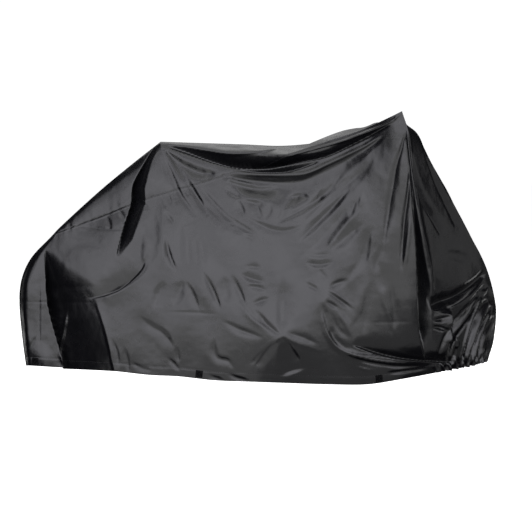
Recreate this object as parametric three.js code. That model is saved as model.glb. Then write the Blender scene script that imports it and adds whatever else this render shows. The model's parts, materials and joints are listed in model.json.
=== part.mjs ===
// A fitted bicycle cover as it hangs in use: two side panels, a top panel sewn between them
// and six small patches on the hem. Millimetres, +Z up, +X to the front, the near side at -Y.
import * as THREE from "three";

// Cloth
const CLOTH_THICKNESS = 2;
const HEM_THICKNESS = 3;
const PANEL_GAP = 0.3;

// Hem patches, square and sewn flat on the hem band
const PATCH_SIZE = 26;
const PATCH_THICKNESS = 1.5;
const PATCH_ABOVE_HEM = 18;
const PATCH_FLAT_RADIUS = 75;

// The underside of the top at the rear peak, where the cover is held up, is the origin
const REST = { along: -345, up: 978 };

// The near side is read off a side view from this distance: nearer points look larger and lower
const VIEW = { distance: 8000, pitch: THREE.MathUtils.degToRad(4), along: 30, up: 514 };

// Sections of the cover from its rear edge to its front edge, before the slack folds in.
// Each level is [along, up above the floor, near side, far side]. The far side follows the near
// one, moved by turn [along, up] at the seam, because the front is turned to the far side.
// crown [along, up] is the middle of the top, and shoulder [width, rise] rounds the top between seam
// and crown. columns is the mesh up to the next section.
const LEVELS = ["hem", "low", "middle", "high", "upper", "seam"];
const SECTIONS = [
  { name: "rear edge", columns: 4, turn: [0, 0], shoulder: [0, 0], crown: [-775, 625],
    hem: [-870, 140, 0, 0], low: [-885, 255, 0, 0], middle: [-895, 385, 0, 0],
    high: [-885, 470, 0, 0], upper: [-850, 545, 0, 0], seam: [-775, 625, 0, 0] },
  { name: "rear strip", columns: 12, turn: [0, 0], shoulder: [14, -4], crown: [-744, 658],
    hem: [-850, 140, -36, 36], low: [-862, 255, -36, 36], middle: [-868, 385, -36, 36],
    high: [-855, 475, -32, 32], upper: [-818, 550, -26, 26], seam: [-750, 640, -20, 20] },
  { name: "split ridge", columns: 6, turn: [0, 0], shoulder: [35, -8], crown: [-600, 790],
    hem: [-545, 120, -112, 112], low: [-580, 255, -112, 110], middle: [-615, 400, -104, 105],
    high: [-640, 520, -88, 90], upper: [-620, 620, -65, 65], seam: [-590, 700, -45, 45] },
  { name: "behind the rear peak", columns: 8, turn: [0, 0], shoulder: [50, -5], crown: [-480, 890],
    hem: [-405, 105, -128, 128], low: [-430, 275, -132, 130], middle: [-455, 440, -122, 122],
    high: [-470, 590, -105, 105], upper: [-480, 680, -88, 88], seam: [-470, 750, -68, 68] },
  { name: "rear peak", columns: 4, turn: [0, 0], shoulder: [62, 5], crown: [-365, 980],
    hem: [-300, 100, -140, 140], low: [-320, 275, -147, 145], middle: [-335, 440, -140, 138],
    high: [-350, 590, -122, 120], upper: [-355, 700, -100, 100], seam: [-355, 790, -78, 78] },
  { name: "before the rear peak", columns: 4, turn: [0, 0], shoulder: [55, 0], crown: [-205, 975],
    hem: [-160, 85, -158, 158], low: [-175, 255, -168, 165], middle: [-190, 430, -160, 155],
    high: [-195, 600, -140, 138], upper: [-200, 730, -112, 110], seam: [-200, 835, -88, 88] },
  { name: "rear of the sag", columns: 4, turn: [0, 0], shoulder: [60, 0], crown: [-50, 970],
    hem: [-30, 80, -168, 168], low: [-40, 255, -188, 185], middle: [-40, 435, -176, 172],
    high: [-45, 630, -155, 150], upper: [-45, 780, -128, 122], seam: [-40, 885, -104, 98] },
  { name: "middle of the sag", columns: 4, turn: [0, 0], shoulder: [70, -3], crown: [95, 965],
    hem: [110, 75, -165, 165], low: [100, 250, -208, 195], middle: [100, 435, -190, 182],
    high: [100, 650, -172, 160], upper: [100, 830, -148, 132], seam: [100, 930, -122, 110] },
  { name: "front of the sag", columns: 4, turn: [-5, 10], shoulder: [75, -6], crown: [250, 980],
    hem: [270, 70, -170, 170], low: [260, 245, -205, 195], middle: [260, 425, -208, 190],
    high: [255, 670, -192, 172], upper: [250, 880, -172, 155], seam: [255, 980, -158, 150] },
  { name: "rise to the front peak", columns: 4, turn: [-60, -8], shoulder: [100, 0], crown: [350, 1000],
    hem: [410, 70, -165, 175], low: [410, 230, -198, 190], middle: [415, 415, -216, 190],
    high: [410, 680, -226, 195], upper: [400, 920, -222, 208], seam: [390, 1025, -215, 215] },
  { name: "behind the front peak", columns: 4, turn: [-105, -45], shoulder: [140, 0], crown: [430, 1025],
    hem: [540, 90, -140, 180], low: [545, 230, -178, 190], middle: [550, 415, -214, 200],
    high: [535, 705, -258, 230], upper: [520, 950, -282, 262], seam: [500, 1075, -285, 262] },
  { name: "front peak", columns: 8, turn: [-100, -63], shoulder: [150, 10], crown: [470, 1050],
    hem: [675, 115, -78, 165], low: [660, 235, -120, 185], middle: [650, 415, -165, 200],
    high: [605, 695, -250, 235], upper: [565, 950, -292, 275], seam: [540, 1095, -300, 290] },
  { name: "front shoulder", columns: 8, turn: [-100, -45],
    hem: [780, 135, -5, 125], low: [795, 235, -25, 170], middle: [795, 405, -35, 195],
    high: [745, 715, -60, 150], upper: [605, 1010, -200, 190] },
  { name: "front edge", columns: 0, turn: [0, 0],
    hem: [860, 155, 60, 60], low: [885, 245, 92, 92], middle: [890, 380, 115, 115],
    high: [825, 575, 25, 25], upper: [560, 985, 0, 0] },
];
const FRONT_PEAK = 11;
const TURN_BY_LEVEL = { hem: 0, low: 0, middle: 0.15, high: 0.5, upper: 0.9, seam: 1 };

// Mesh rows between each level and the next, and steps across each half of the top panel
const ROWS_PER_LEVEL = [4, 4, 4, 4, 8];
const TOP_STEPS = 8;

// Folds, drawn along a path of [along, up] in the side view. left and right are how far the fold
// spreads on each side of the path, as one walks along it, and depth is its height (in is negative),
// all at even shares of the path. fade is the share of the length that each end takes to run out.
// A soft fold is round, a crest has a sharp top and a hollow has sharp edges.
const NEAR_FOLDS = [
  { name: "rear recess", shape: "hollow", path: [[-795, 565], [-770, 385], [-720, 150], [-710, 90]],
    left: [8, 100, 152, 165, 185], right: [8, 18, 20, 24, 24], depth: [0, -38, -48, -55, -58], fade: 0 },
  { name: "fold under the rear peak", shape: "hollow",
    path: [[-400, 940], [-435, 860], [-465, 810], [-470, 740], [-500, 650], [-530, 550]],
    left: [22, 40, 42, 40, 20], right: [40, 90, 120, 110, 50], depth: [-14, -36, -42, -36, -10], fade: 0.06 },
  { name: "split ridge arm", shape: "crest", path: [[-615, 400], [-520, 440], [-435, 500], [-415, 590]],
    left: [30, 34, 26], right: [60, 70, 50], depth: [8, 12, 6], fade: 0.1 },
  { name: "hollow above the arm", shape: "soft", path: [[-590, 445], [-510, 475], [-455, 530]],
    left: [50, 60, 50], right: [26, 30, 26], depth: [-6, -12, -6], fade: 0.25 },
  { name: "upper sag", shape: "hollow",
    path: [[-330, 945], [-215, 922], [-65, 895], [65, 882], [175, 890], [270, 930], [380, 982], [500, 1052]],
    left: [12, 32, 42, 36, 12], right: [8, 18, 24, 20, 8], depth: [-8, -30, -36, -30, -8], fade: 0.05 },
  { name: "ridge under the upper sag", shape: "crest",
    path: [[-320, 937], [-215, 908], [-100, 872], [15, 860], [120, 860], [230, 885], [345, 942], [495, 1040]],
    left: [8, 14, 16, 14, 8], right: [10, 20, 24, 20, 10], depth: [4, 10, 12, 10, 4], fade: 0.08 },
  { name: "lower sag", shape: "soft",
    path: [[-290, 925], [-200, 885], [-85, 843], [45, 826], [175, 838], [290, 875], [400, 940]],
    left: [10, 20, 24, 20, 10], right: [20, 40, 50, 40, 20], depth: [-6, -14, -18, -14, -6], fade: 0.1 },
  { name: "fan from the rear peak", shape: "soft", path: [[-350, 925], [-320, 855], [-290, 790], [-245, 705]],
    left: [12, 22, 22], right: [12, 22, 22], depth: [-5, -9, -5], fade: 0.2 },
  { name: "fan from the front peak", shape: "soft",
    path: [[560, 1000], [530, 890], [505, 800], [490, 705], [470, 590]],
    left: [14, 24, 24], right: [14, 24, 24], depth: [-8, -16, -6], fade: 0.12 },
  { name: "front fan", shape: "soft", path: [[575, 830], [560, 740], [545, 650], [535, 575], [530, 500]],
    left: [14, 22, 22], right: [14, 22, 22], depth: [-8, -16, -6], fade: 0.15 },
  { name: "shade behind the front ridge", shape: "soft",
    path: [[580, 790], [595, 705], [605, 590], [605, 385], [610, 255]],
    left: [12, 26, 34], right: [12, 22, 24], depth: [-6, -24, -30], fade: 0.12 },
  { name: "front ridge", shape: "crest", path: [[560, 1030], [575, 890], [595, 730], [620, 595], [650, 435]],
    left: [14, 24, 24], right: [14, 22, 22], depth: [4, 12, 8], fade: 0.12 },
  { name: "front hollow", shape: "soft", path: [[700, 440], [660, 370], [640, 290], [650, 205]],
    left: [30, 46, 36], right: [24, 36, 30], depth: [-24, -44, -24], fade: 0.15 },
  { name: "edge of the front pouch", shape: "hollow", path: [[850, 500], [795, 450], [740, 412], [680, 382]],
    left: [16, 22, 26], right: [24, 40, 40], depth: [-10, -26, -28], fade: 0.12 },
  { name: "low sag", shape: "hollow", path: [[375, 215], [450, 188], [530, 167], [650, 155]],
    left: [30, 44, 30], right: [12, 18, 14], depth: [-12, -28, -16], fade: 0.15 },
  { name: "ridge under the low sag", shape: "crest",
    path: [[250, 315], [260, 250], [340, 185], [430, 160], [530, 145], [680, 140]],
    left: [18, 22, 14], right: [24, 28, 18], depth: [8, 14, 8], fade: 0.12 },
  { name: "low poke", shape: "crest", path: [[75, 250], [95, 250]], left: [150, 150], right: [150, 150],
    depth: [8, 8], fade: 0 },
  { name: "front poke", shape: "crest", path: [[250, 375], [262, 395]], left: [110, 110], right: [110, 110],
    depth: [8, 8], fade: 0 },
];
const FAR_FOLDS = [
  { name: "far rear recess", shape: "hollow", path: [[-790, 560], [-760, 385], [-720, 150], [-710, 90]],
    left: [10, 130, 150], right: [10, 24, 26], depth: [0, -34, -40], fade: 0 },
  { name: "far fold under the rear peak", shape: "soft",
    path: [[-390, 930], [-435, 780], [-465, 640], [-500, 520]],
    left: [18, 34, 26], right: [24, 60, 40], depth: [-8, -26, -10], fade: 0.1 },
  { name: "far sag", shape: "soft", path: [[-310, 935], [-90, 890], [120, 895], [300, 955]],
    left: [16, 36, 16], right: [14, 24, 14], depth: [-8, -26, -8], fade: 0.12 },
  { name: "far ridge under the sag", shape: "crest", path: [[-280, 905], [-80, 845], [130, 855], [310, 925]],
    left: [14, 20, 14], right: [18, 34, 20], depth: [6, 12, 6], fade: 0.12 },
  { name: "far front fan, rear", shape: "soft", path: [[360, 960], [260, 760], [170, 570]],
    left: [20, 36, 40], right: [20, 36, 40], depth: [-8, -16, -6], fade: 0.15 },
  { name: "far front fan, middle", shape: "soft", path: [[410, 940], [390, 760], [360, 560], [350, 430]],
    left: [20, 34, 40], right: [20, 34, 40], depth: [-8, -20, -8], fade: 0.15 },
  { name: "far front fan, front", shape: "soft", path: [[470, 900], [490, 700], [510, 480]],
    left: [20, 34, 40], right: [20, 34, 40], depth: [-8, -20, -8], fade: 0.15 },
  { name: "far low sag", shape: "soft", path: [[-60, 190], [150, 160], [400, 155], [620, 165]],
    left: [24, 40, 26], right: [20, 28, 20], depth: [-8, -18, -10], fade: 0.15 },
  { name: "far poke", shape: "crest", path: [[-210, 350], [-190, 350]], left: [160, 160], right: [160, 160],
    depth: [14, 14], fade: 0 },
];

// Pleats of the elastic at the front of the hem, which lean forward as they rise
const PLEATS = { count: 4, height: 13, lean: 0.35, reach: 2.3, start: 10.7 };

// Folds run out towards the shared rear, front and top lines, over these shares of a section
const FADE = { rear: 0.7, front: 0.6, crown: 0.45 };

// Patches on each side, at a place between the sections along the hem
const PATCHES = [
  { name: "rear", section: 1.06 },
  { name: "middle", section: 4.58 },
  { name: "front", section: 9.33 },
];

// Looks
const CLOTH_LOOK = { color: 0x26272a, roughness: 0.45, metalness: 0 };
const PATCH_LOOK = { color: 0x0b0b0c, roughness: 0.85, metalness: 0 };

const { clamp, lerp, smoothstep } = THREE.MathUtils;
const vector = (x, y, z) => new THREE.Vector3(x, y, z);

// The eye of the side view and the plane that its sizes are read in
const EYE = vector(
  VIEW.along,
  -VIEW.distance * Math.cos(VIEW.pitch),
  VIEW.up + VIEW.distance * Math.sin(VIEW.pitch),
);
const VIEW_UP = vector(0, Math.sin(VIEW.pitch), Math.cos(VIEW.pitch));
const VIEW_AHEAD = vector(0, Math.cos(VIEW.pitch), -Math.sin(VIEW.pitch));

// The place of a point that the side view shows at [along, up], at a given depth across
function place(along, up, across) {
  const read = vector(along, 0, VIEW.up).addScaledVector(VIEW_UP, up - VIEW.up);
  const share = (across - EYE.y) / (read.y - EYE.y);
  return read.sub(EYE).multiplyScalar(share).add(EYE);
}

// Where the side view shows a point
function seen(point) {
  const sight = point.clone().sub(EYE);
  const scale = VIEW.distance / sight.dot(VIEW_AHEAD);
  return [VIEW.along + sight.x * scale, VIEW.up + sight.dot(VIEW_UP) * scale];
}

// A smooth curve through points, evaluated at a fractional index. Each tangent runs from the point
// before to the point after, so that a long stretch stays nearly straight.
function alongCurve(points, index) {
  const last = points.length - 1;
  const from = clamp(Math.floor(index), 0, last - 1);
  const tangent = (i) => {
    const [before, after] = [points[Math.max(i - 1, 0)], points[Math.min(i + 1, last)]];
    const length = points[i].distanceTo(before) + points[i].distanceTo(after);
    return after.clone().sub(before).divideScalar(Math.max(length, 1e-6));
  };
  const t = index - from;
  const length = points[from].distanceTo(points[from + 1]);
  return points[from].clone().multiplyScalar(2 * t ** 3 - 3 * t ** 2 + 1)
    .addScaledVector(points[from + 1], 3 * t ** 2 - 2 * t ** 3)
    .addScaledVector(tangent(from), (t ** 3 - 2 * t ** 2 + t) * length)
    .addScaledVector(tangent(from + 1), (t ** 3 - t ** 2) * length);
}

// One level of a section, on the near or the far side
function sectionPoint(section, level, far) {
  const [along, up, near, across] = section[level];
  const point = place(along, up, near);
  if (!far || near === across) return point;
  const share = TURN_BY_LEVEL[level];
  return vector(point.x + section.turn[0] * share, across, point.z + section.turn[1] * share);
}

// The top between the seam and the crown of a section, rounded by its shoulder
function overTop(seam, crown, shoulder, far, share) {
  const side = far ? 1 : -1;
  const bend = vector((seam.x + crown.x) / 2, crown.y + side * shoulder[0], crown.z + shoulder[1]);
  return seam.clone().multiplyScalar((1 - share) ** 2)
    .addScaledVector(bend, 2 * share * (1 - share))
    .addScaledVector(crown, share ** 2);
}

// The taut form of one side, as functions of the place between sections
function tautSide(far) {
  const rear = SECTIONS.slice(0, FRONT_PEAK + 1);
  const front = SECTIONS.slice(FRONT_PEAK);
  const seams = rear.map((section) => sectionPoint(section, "seam", far));
  const crowns = rear.map((section) => place(...section.crown, 0));
  const shoulders = rear.map((section) => vector(...section.shoulder, 0));
  const peak = {
    seam: seams[FRONT_PEAK],
    crown: crowns[FRONT_PEAK],
    shoulder: SECTIONS[FRONT_PEAK].shoulder,
  };
  const levels = LEVELS.slice(0, -1).map((level) => ({
    rear: rear.map((section) => sectionPoint(section, level, far)),
    front: front.map((section) => sectionPoint(section, level, far)),
  }));
  const frontSpan = SECTIONS.length - 1 - FRONT_PEAK;
  const section = (at) => {
    const ahead = at > FRONT_PEAK;
    const points = levels.map((level) => (
      ahead ? alongCurve(level.front, at - FRONT_PEAK) : alongCurve(level.rear, at)));
    points.push(ahead
      ? overTop(peak.seam, peak.crown, peak.shoulder, far, (at - FRONT_PEAK) / frontSpan)
      : alongCurve(seams, at));
    return points;
  };
  const top = (at, share) => {
    const shoulder = alongCurve(shoulders, at);
    return overTop(alongCurve(seams, at), alongCurve(crowns, at), [shoulder.x, shoulder.y], far, share);
  };
  return { section, top };
}

// A value at a share of the way along a row of evenly spaced values
function spread(values, share) {
  const at = share * (values.length - 1);
  const from = clamp(Math.floor(at), 0, values.length - 2);
  return lerp(values[from], values[from + 1], at - from);
}

// How far a fold lifts the cloth at a place in the side view
function foldHeight(fold, along, up) {
  let nearest = { distance: Infinity };
  for (let i = 0; i + 1 < fold.line.length; i += 1) {
    const [x0, z0] = fold.line[i];
    const [x1, z1] = fold.line[i + 1];
    const length = (x1 - x0) ** 2 + (z1 - z0) ** 2;
    const t = clamp(((along - x0) * (x1 - x0) + (up - z0) * (z1 - z0)) / length, 0, 1);
    const distance = Math.hypot(along - lerp(x0, x1, t), up - lerp(z0, z1, t));
    if (distance < nearest.distance) {
      const side = (x1 - x0) * (up - z0) - (z1 - z0) * (along - x0) > 0 ? fold.left : fold.right;
      nearest = { distance, side, share: (i + t) / (fold.line.length - 1) };
    }
  }
  const q = nearest.distance / spread(nearest.side, nearest.share);
  if (q >= 1) return 0;
  const profile = { soft: (1 - q * q) ** 2, crest: (1 - q) ** 2, hollow: 1 - q * q }[fold.shape];
  const ends = fold.fade === 0 ? 1
    : smoothstep(nearest.share, 0, fold.fade) * smoothstep(1 - nearest.share, 0, fold.fade);
  return spread(fold.depth, nearest.share) * profile * ends;
}

// Each fold's path as an even smooth line
const FOLD_LINE_STEPS = 24;
for (const fold of [...NEAR_FOLDS, ...FAR_FOLDS]) {
  const curve = new THREE.CatmullRomCurve3(fold.path.map(([along, up]) => vector(along, 0, up)));
  fold.line = curve.getSpacedPoints(FOLD_LINE_STEPS).map((point) => [point.x, point.z]);
}

// The elastic's pleats at a place between sections and levels
function pleatHeight(at, level) {
  if (at < PLEATS.start || level > PLEATS.reach) return 0;
  const turns = (PLEATS.count * (at - FRONT_PEAK)) / (SECTIONS.length - 1 - FRONT_PEAK);
  const rise = (1 - level / PLEATS.reach) ** 1.5;
  const start = smoothstep(at, PLEATS.start, FRONT_PEAK + 0.3);
  return PLEATS.height * rise * start * Math.sin(2 * Math.PI * (turns - PLEATS.lean * level));
}

// The places of the mesh columns between sections, and of the rows between levels
const columnPlaces = SECTIONS.flatMap((section, i) => (
  Array.from({ length: section.columns }, (_, k) => i + k / section.columns)));
columnPlaces.push(SECTIONS.length - 1);
const rowPlaces = ROWS_PER_LEVEL.flatMap((count, i) => (
  Array.from({ length: count }, (_, k) => i + k / count)));
rowPlaces.push(ROWS_PER_LEVEL.length);
const peakColumn = columnPlaces.indexOf(FRONT_PEAK);
const topRow = rowPlaces.length - 1;

// A corner of the mesh: its place on the taut form, its place when folded, and its normal
let cornerCount = 0;
function corner(taut, fade, pleat, thickness) {
  cornerCount += 1;
  return { number: cornerCount, taut, fade, pleat, thickness, at: taut.clone(), normal: vector(0, 0, 0) };
}

// One side panel's corners, with every step-th column
function sideGrid(form, step) {
  const last = SECTIONS.length - 1;
  return columnPlaces.filter((_, i) => i % step === 0).map((at) => {
    const points = form.section(at);
    const fade = smoothstep(at, 0, FADE.rear) * smoothstep(last - at, 0, FADE.front);
    return rowPlaces.map((level, row) => corner(
      alongCurve(points, level),
      fade,
      pleatHeight(at, level) * smoothstep(last - at, 0, FADE.front),
      row < 2 ? HEM_THICKNESS : CLOTH_THICKNESS,
    ));
  });
}

const nearForm = tautSide(false);
const farForm = tautSide(true);
const FAR_STEP = 2;
const near = sideGrid(nearForm, 1);
const far = sideGrid(farForm, FAR_STEP);
const farPeakColumn = peakColumn / FAR_STEP;

// The two sides share their rear and front edges
far[0] = near[0];
far[far.length - 1] = near[near.length - 1];

// The top panel's corners share the seams, the line between the front peaks and the rear tip
const top = columnPlaces.slice(0, peakColumn + 1).map((at, column) => {
  const across = [];
  for (let step = 0; step <= 2 * TOP_STEPS; step += 1) {
    const beyond = step > TOP_STEPS;
    const share = beyond ? 2 - step / TOP_STEPS : step / TOP_STEPS;
    const onFarSeam = step === 2 * TOP_STEPS && column % FAR_STEP === 0;
    const nearFront = peakColumn + (near.length - 1 - peakColumn) * share;
    const farFront = farPeakColumn + (far.length - 1 - farPeakColumn) * share;
    if (column === 0 || step === 0) across.push(near[column][topRow]);
    else if (column === peakColumn) across.push(beyond ? far[farFront][topRow] : near[nearFront][topRow]);
    else if (onFarSeam) across.push(far[column / FAR_STEP][topRow]);
    else {
      const fade = smoothstep(1 - share, 0, FADE.crown) * smoothstep(at, 0, FADE.rear);
      across.push(corner((beyond ? farForm : nearForm).top(at, share), fade, 0, CLOTH_THICKNESS));
    }
  }
  return across;
});

// Where a coarser panel meets a finer one, the finer edge's extra corners lie in the coarser edge
const extras = new Map();
const pair = (a, b) => (a.number < b.number ? `${a.number} ${b.number}` : `${b.number} ${a.number}`);
for (let column = 1; column < peakColumn; column += FAR_STEP) {
  const [before, , after] = [-1, 0, 1].map((step) => top[column + step][2 * TOP_STEPS]);
  extras.set(pair(before, after), top[column][2 * TOP_STEPS]);
}
for (let column = peakColumn + 1; column < near.length; column += 2) {
  extras.set(pair(near[column - 1][topRow], near[column + 1][topRow]), near[column][topRow]);
}

// The triangles of each mesh cell, facing out: split along the shorter diagonal, or fanned from
// the extra corner on its edge
function triangles(grid, flip) {
  const list = [];
  const add = (a, b, c) => {
    if (a === b || b === c || c === a) return;
    list.push(flip ? [a, c, b] : [a, b, c]);
  };
  for (let i = 0; i + 1 < grid.length; i += 1) {
    for (let j = 0; j + 1 < grid[i].length; j += 1) {
      const loop = [grid[i][j], grid[i + 1][j], grid[i + 1][j + 1], grid[i][j + 1]];
      const edge = loop.findIndex((point, k) => extras.has(pair(point, loop[(k + 1) % 4])));
      const [a, b, c, d] = loop.map((_, k) => loop[(k + Math.max(edge, 0)) % 4]);
      if (edge >= 0) {
        const extra = extras.get(pair(a, b));
        add(extra, b, c);
        add(extra, c, d);
        add(extra, d, a);
      } else if (a.at.distanceTo(c.at) < b.at.distanceTo(d.at)) {
        add(a, b, c);
        add(a, c, d);
      } else {
        add(a, b, d);
        add(b, c, d);
      }
    }
  }
  return list;
}

const nearTriangles = () => triangles(near, false);
const farTriangles = () => triangles(far, true);
const topTriangles = () => triangles(top, false);

// Normals of the whole cover, across the seams
function setNormals() {
  const lists = [nearTriangles(), farTriangles(), topTriangles()];
  const corners = new Set(lists.flat(2));
  corners.forEach((point) => point.normal.set(0, 0, 0));
  for (const [a, b, c] of lists.flat()) {
    const face = b.at.clone().sub(a.at).cross(c.at.clone().sub(a.at));
    [a, b, c].forEach((point) => point.normal.add(face));
  }
  corners.forEach((point) => point.normal.normalize());
}

// Places of the patches, kept flat
const sideView = { near: (point) => seen(point), far: (point) => [point.x, point.z] };
function patchPlace(grid, step, section) {
  const column = columnPlaces.findIndex((at) => at > section) - 1;
  const share = (section - columnPlaces[column]) / (columnPlaces[column + 1] - columnPlaces[column]);
  const at = (column + share) / step;
  const first = Math.floor(at);
  const foot = grid[first][0].at.clone().lerp(grid[first + 1][0].at, at - first);
  const head = grid[first][1].at.clone().lerp(grid[first + 1][1].at, at - first);
  const along = grid[first + 1][0].at.clone().sub(grid[first][0].at).normalize();
  const rise = head.sub(foot).normalize();
  return { middle: foot.addScaledVector(rise, PATCH_ABOVE_HEM), along, rise };
}
const patchPlaces = PATCHES.flatMap((patch) => [
  { ...patch, side: "near", ...patchPlace(near, 1, patch.section) },
  { ...patch, side: "far", ...patchPlace(far, FAR_STEP, patch.section) },
]);

// Fold the taut form
setNormals();
function fold(points, folds, side) {
  const flats = patchPlaces.filter((patch) => patch.side === side).map((patch) => patch.middle);
  for (const point of points) {
    const [along, up] = sideView[side](point.taut);
    const height = folds.reduce((sum, one) => sum + foldHeight(one, along, up), 0);
    const clear = Math.min(...flats.map((flat) => flat.distanceTo(point.taut)));
    const calm = smoothstep(clear, PATCH_FLAT_RADIUS / 2, PATCH_FLAT_RADIUS);
    point.at.copy(point.taut).addScaledVector(point.normal, (height * point.fade + point.pleat) * calm);
  }
}
const nearCorners = new Set([...near.flat(), ...top.flatMap((across) => across.slice(0, TOP_STEPS + 1))]);
const farCorners = new Set([...far.flat(), ...top.flatMap((across) => across.slice(TOP_STEPS + 1))]);
fold(nearCorners, NEAR_FOLDS, "near");
fold([...farCorners].filter((point) => !nearCorners.has(point)), FAR_FOLDS, "far");

// The inner face, one thickness in
setNormals();
for (const point of new Set([...near.flat(), ...far.flat(), ...top.flat()])) {
  point.inner = point.at.clone().addScaledVector(point.normal, -point.thickness);
}

// Half the gap at a shared edge: each panel's edge steps back towards its own next corner
function insets(grid, edges) {
  const steps = new Map();
  const add = (point, next) => {
    const back = next.at.clone().sub(point.at);
    back.addScaledVector(point.normal, -back.dot(point.normal)).setLength(PANEL_GAP / 2);
    steps.set(point, (steps.get(point) ?? vector(0, 0, 0)).add(back));
  };
  const last = grid.length - 1;
  grid.forEach((column, i) => {
    if (edges.end) add(column[column.length - 1], column[column.length - 2]);
    if (edges.start) add(column[0], column[1]);
    if (i === 0 && edges.rear) column.forEach((point, j) => add(point, grid[1][j]));
    if (i === last && edges.front) column.forEach((point, j) => add(point, grid[last - 1][j]));
  });
  for (let i = 0; i < last; i += 1) {
    shareStep(steps, [grid[i][grid[i].length - 1], grid[i + 1][grid[i + 1].length - 1]]);
  }
  grid[last].slice(0, -1).forEach((point, j) => shareStep(steps, [point, grid[last][j + 1]]));
  return steps;
}

// An extra corner on an edge steps back as the edge's own two corners do
function shareStep(steps, [a, b]) {
  const extra = extras.get(pair(a, b));
  if (!extra || !steps.has(a) || !steps.has(b)) return;
  steps.set(extra, steps.get(a).clone().add(steps.get(b)).setLength(PANEL_GAP / 2));
}

// A closed sheet from the outer triangles of a panel: outer face, inner face and the rim between
function sheet(name, list, steps) {
  const corners = [...new Set(list.flat())];
  const number = new Map(corners.map((point, i) => [point, i]));
  const moved = (point, key) => point[key].clone().add(steps.get(point) ?? vector(0, 0, 0));
  const positions = ["at", "inner"].flatMap((key) => corners.flatMap((point) => moved(point, key).toArray()));
  const index = [];
  const used = new Set();
  const depth = corners.length;
  for (const [a, b, c] of list) {
    const [i, j, k] = [number.get(a), number.get(b), number.get(c)];
    index.push(i, j, k, depth + i, depth + k, depth + j);
    [[i, j], [j, k], [k, i]].forEach(([from, to]) => used.add(`${from} ${to}`));
  }
  for (const edge of used) {
    const [from, to] = edge.split(" ").map(Number);
    if (used.has(`${to} ${from}`)) continue;
    const [a, b] = [corners[from], corners[to]];
    const [c, d] = [depth + from, depth + to];
    if (a.inner.distanceTo(b.at) < b.inner.distanceTo(a.at)) index.push(from, c, to, to, c, d);
    else index.push(from, c, d, from, d, to);
  }
  const geometry = new THREE.BufferGeometry();
  geometry.setAttribute("position", new THREE.Float32BufferAttribute(positions, 3));
  geometry.setIndex(index);
  geometry.computeVertexNormals();
  const mesh = new THREE.Mesh(geometry, new THREE.MeshStandardMaterial(CLOTH_LOOK));
  mesh.name = name;
  return mesh;
}

// How far the cloth stands out, at most, behind a patch: at its own points and at the cloth's corners
function clothHeight(list, middle, right, up, out) {
  const half = PATCH_SIZE / 2;
  const around = list.filter((face) => face.some((point) => point.at.distanceTo(middle) < PATCH_FLAT_RADIUS));
  const heights = [];
  for (const across of [-half, -half / 2, 0, half / 2, half]) {
    for (const rise of [-half, -half / 2, 0, half / 2, half]) {
      const start = middle.clone().addScaledVector(right, across).addScaledVector(up, rise);
      const ray = new THREE.Ray(start.addScaledVector(out, PATCH_SIZE), out.clone().negate());
      for (const [a, b, c] of around) {
        const hit = ray.intersectTriangle(a.at, b.at, c.at, false, vector(0, 0, 0));
        if (hit) heights.push(hit.sub(middle).dot(out));
      }
    }
  }
  for (const point of around.flat()) {
    const offset = point.at.clone().sub(middle);
    const inside = Math.abs(offset.dot(right)) <= half && Math.abs(offset.dot(up)) <= half;
    if (inside) heights.push(offset.dot(out));
  }
  return Math.max(...heights);
}

// A patch lies flat on the hem band, clear of the cloth under it
function patchMesh({ name, side, middle, along, rise }, list) {
  const hand = side === "near" ? 1 : -1;
  const out = along.clone().cross(rise).multiplyScalar(hand).normalize();
  const up = out.clone().cross(along).multiplyScalar(hand).normalize();
  const right = up.clone().cross(out);
  const stand = clothHeight(list, middle, right, up, out) + PANEL_GAP + PATCH_THICKNESS / 2;
  const patch = new THREE.Mesh(
    new THREE.BoxGeometry(PATCH_SIZE, PATCH_SIZE, PATCH_THICKNESS),
    new THREE.MeshStandardMaterial(PATCH_LOOK),
  );
  patch.setRotationFromMatrix(new THREE.Matrix4().makeBasis(right, up, out));
  patch.position.copy(middle).addScaledVector(out, stand);
  patch.name = `hem_patch_${side}_${name}`;
  return patch;
}

// Assembly, with the origin at the rest under the top
const onFloor = new THREE.Group();
onFloor.position.set(-REST.along, 0, -REST.up);
onFloor.add(
  sheet("side_panel_near", nearTriangles(), insets(near, { end: true, rear: true, front: true })),
  sheet("side_panel_far", farTriangles(), insets(far, { end: true, rear: true, front: true })),
  sheet("top_panel", topTriangles(), insets(top, { start: true, end: true, front: true })),
  ...patchPlaces.map((patch) => patchMesh(patch, patch.side === "near" ? nearTriangles() : farTriangles())),
);
const cover = new THREE.Group();
cover.name = "bicycle_cover";
cover.add(onFloor);

export default cover;
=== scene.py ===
# %% [markdown]
# A draped bicycle cover. The real thing is three pieces of thin, satin-faced black cloth: two side
# panels and a top panel sewn between them, with a turned hem and six small webbing patches. It hangs
# from a rear peak and a higher front peak, so nearly all of its looks are folds: taut lines that fan
# out from the peaks, slack that sags between them, and black recesses where the cloth turns away.

# %% Load the frame
import json
import math
from collections import namedtuple

import bmesh
import bpy
import numpy as np
from mathutils import Matrix, Vector
from mathutils.bvhtree import BVHTree

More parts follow.
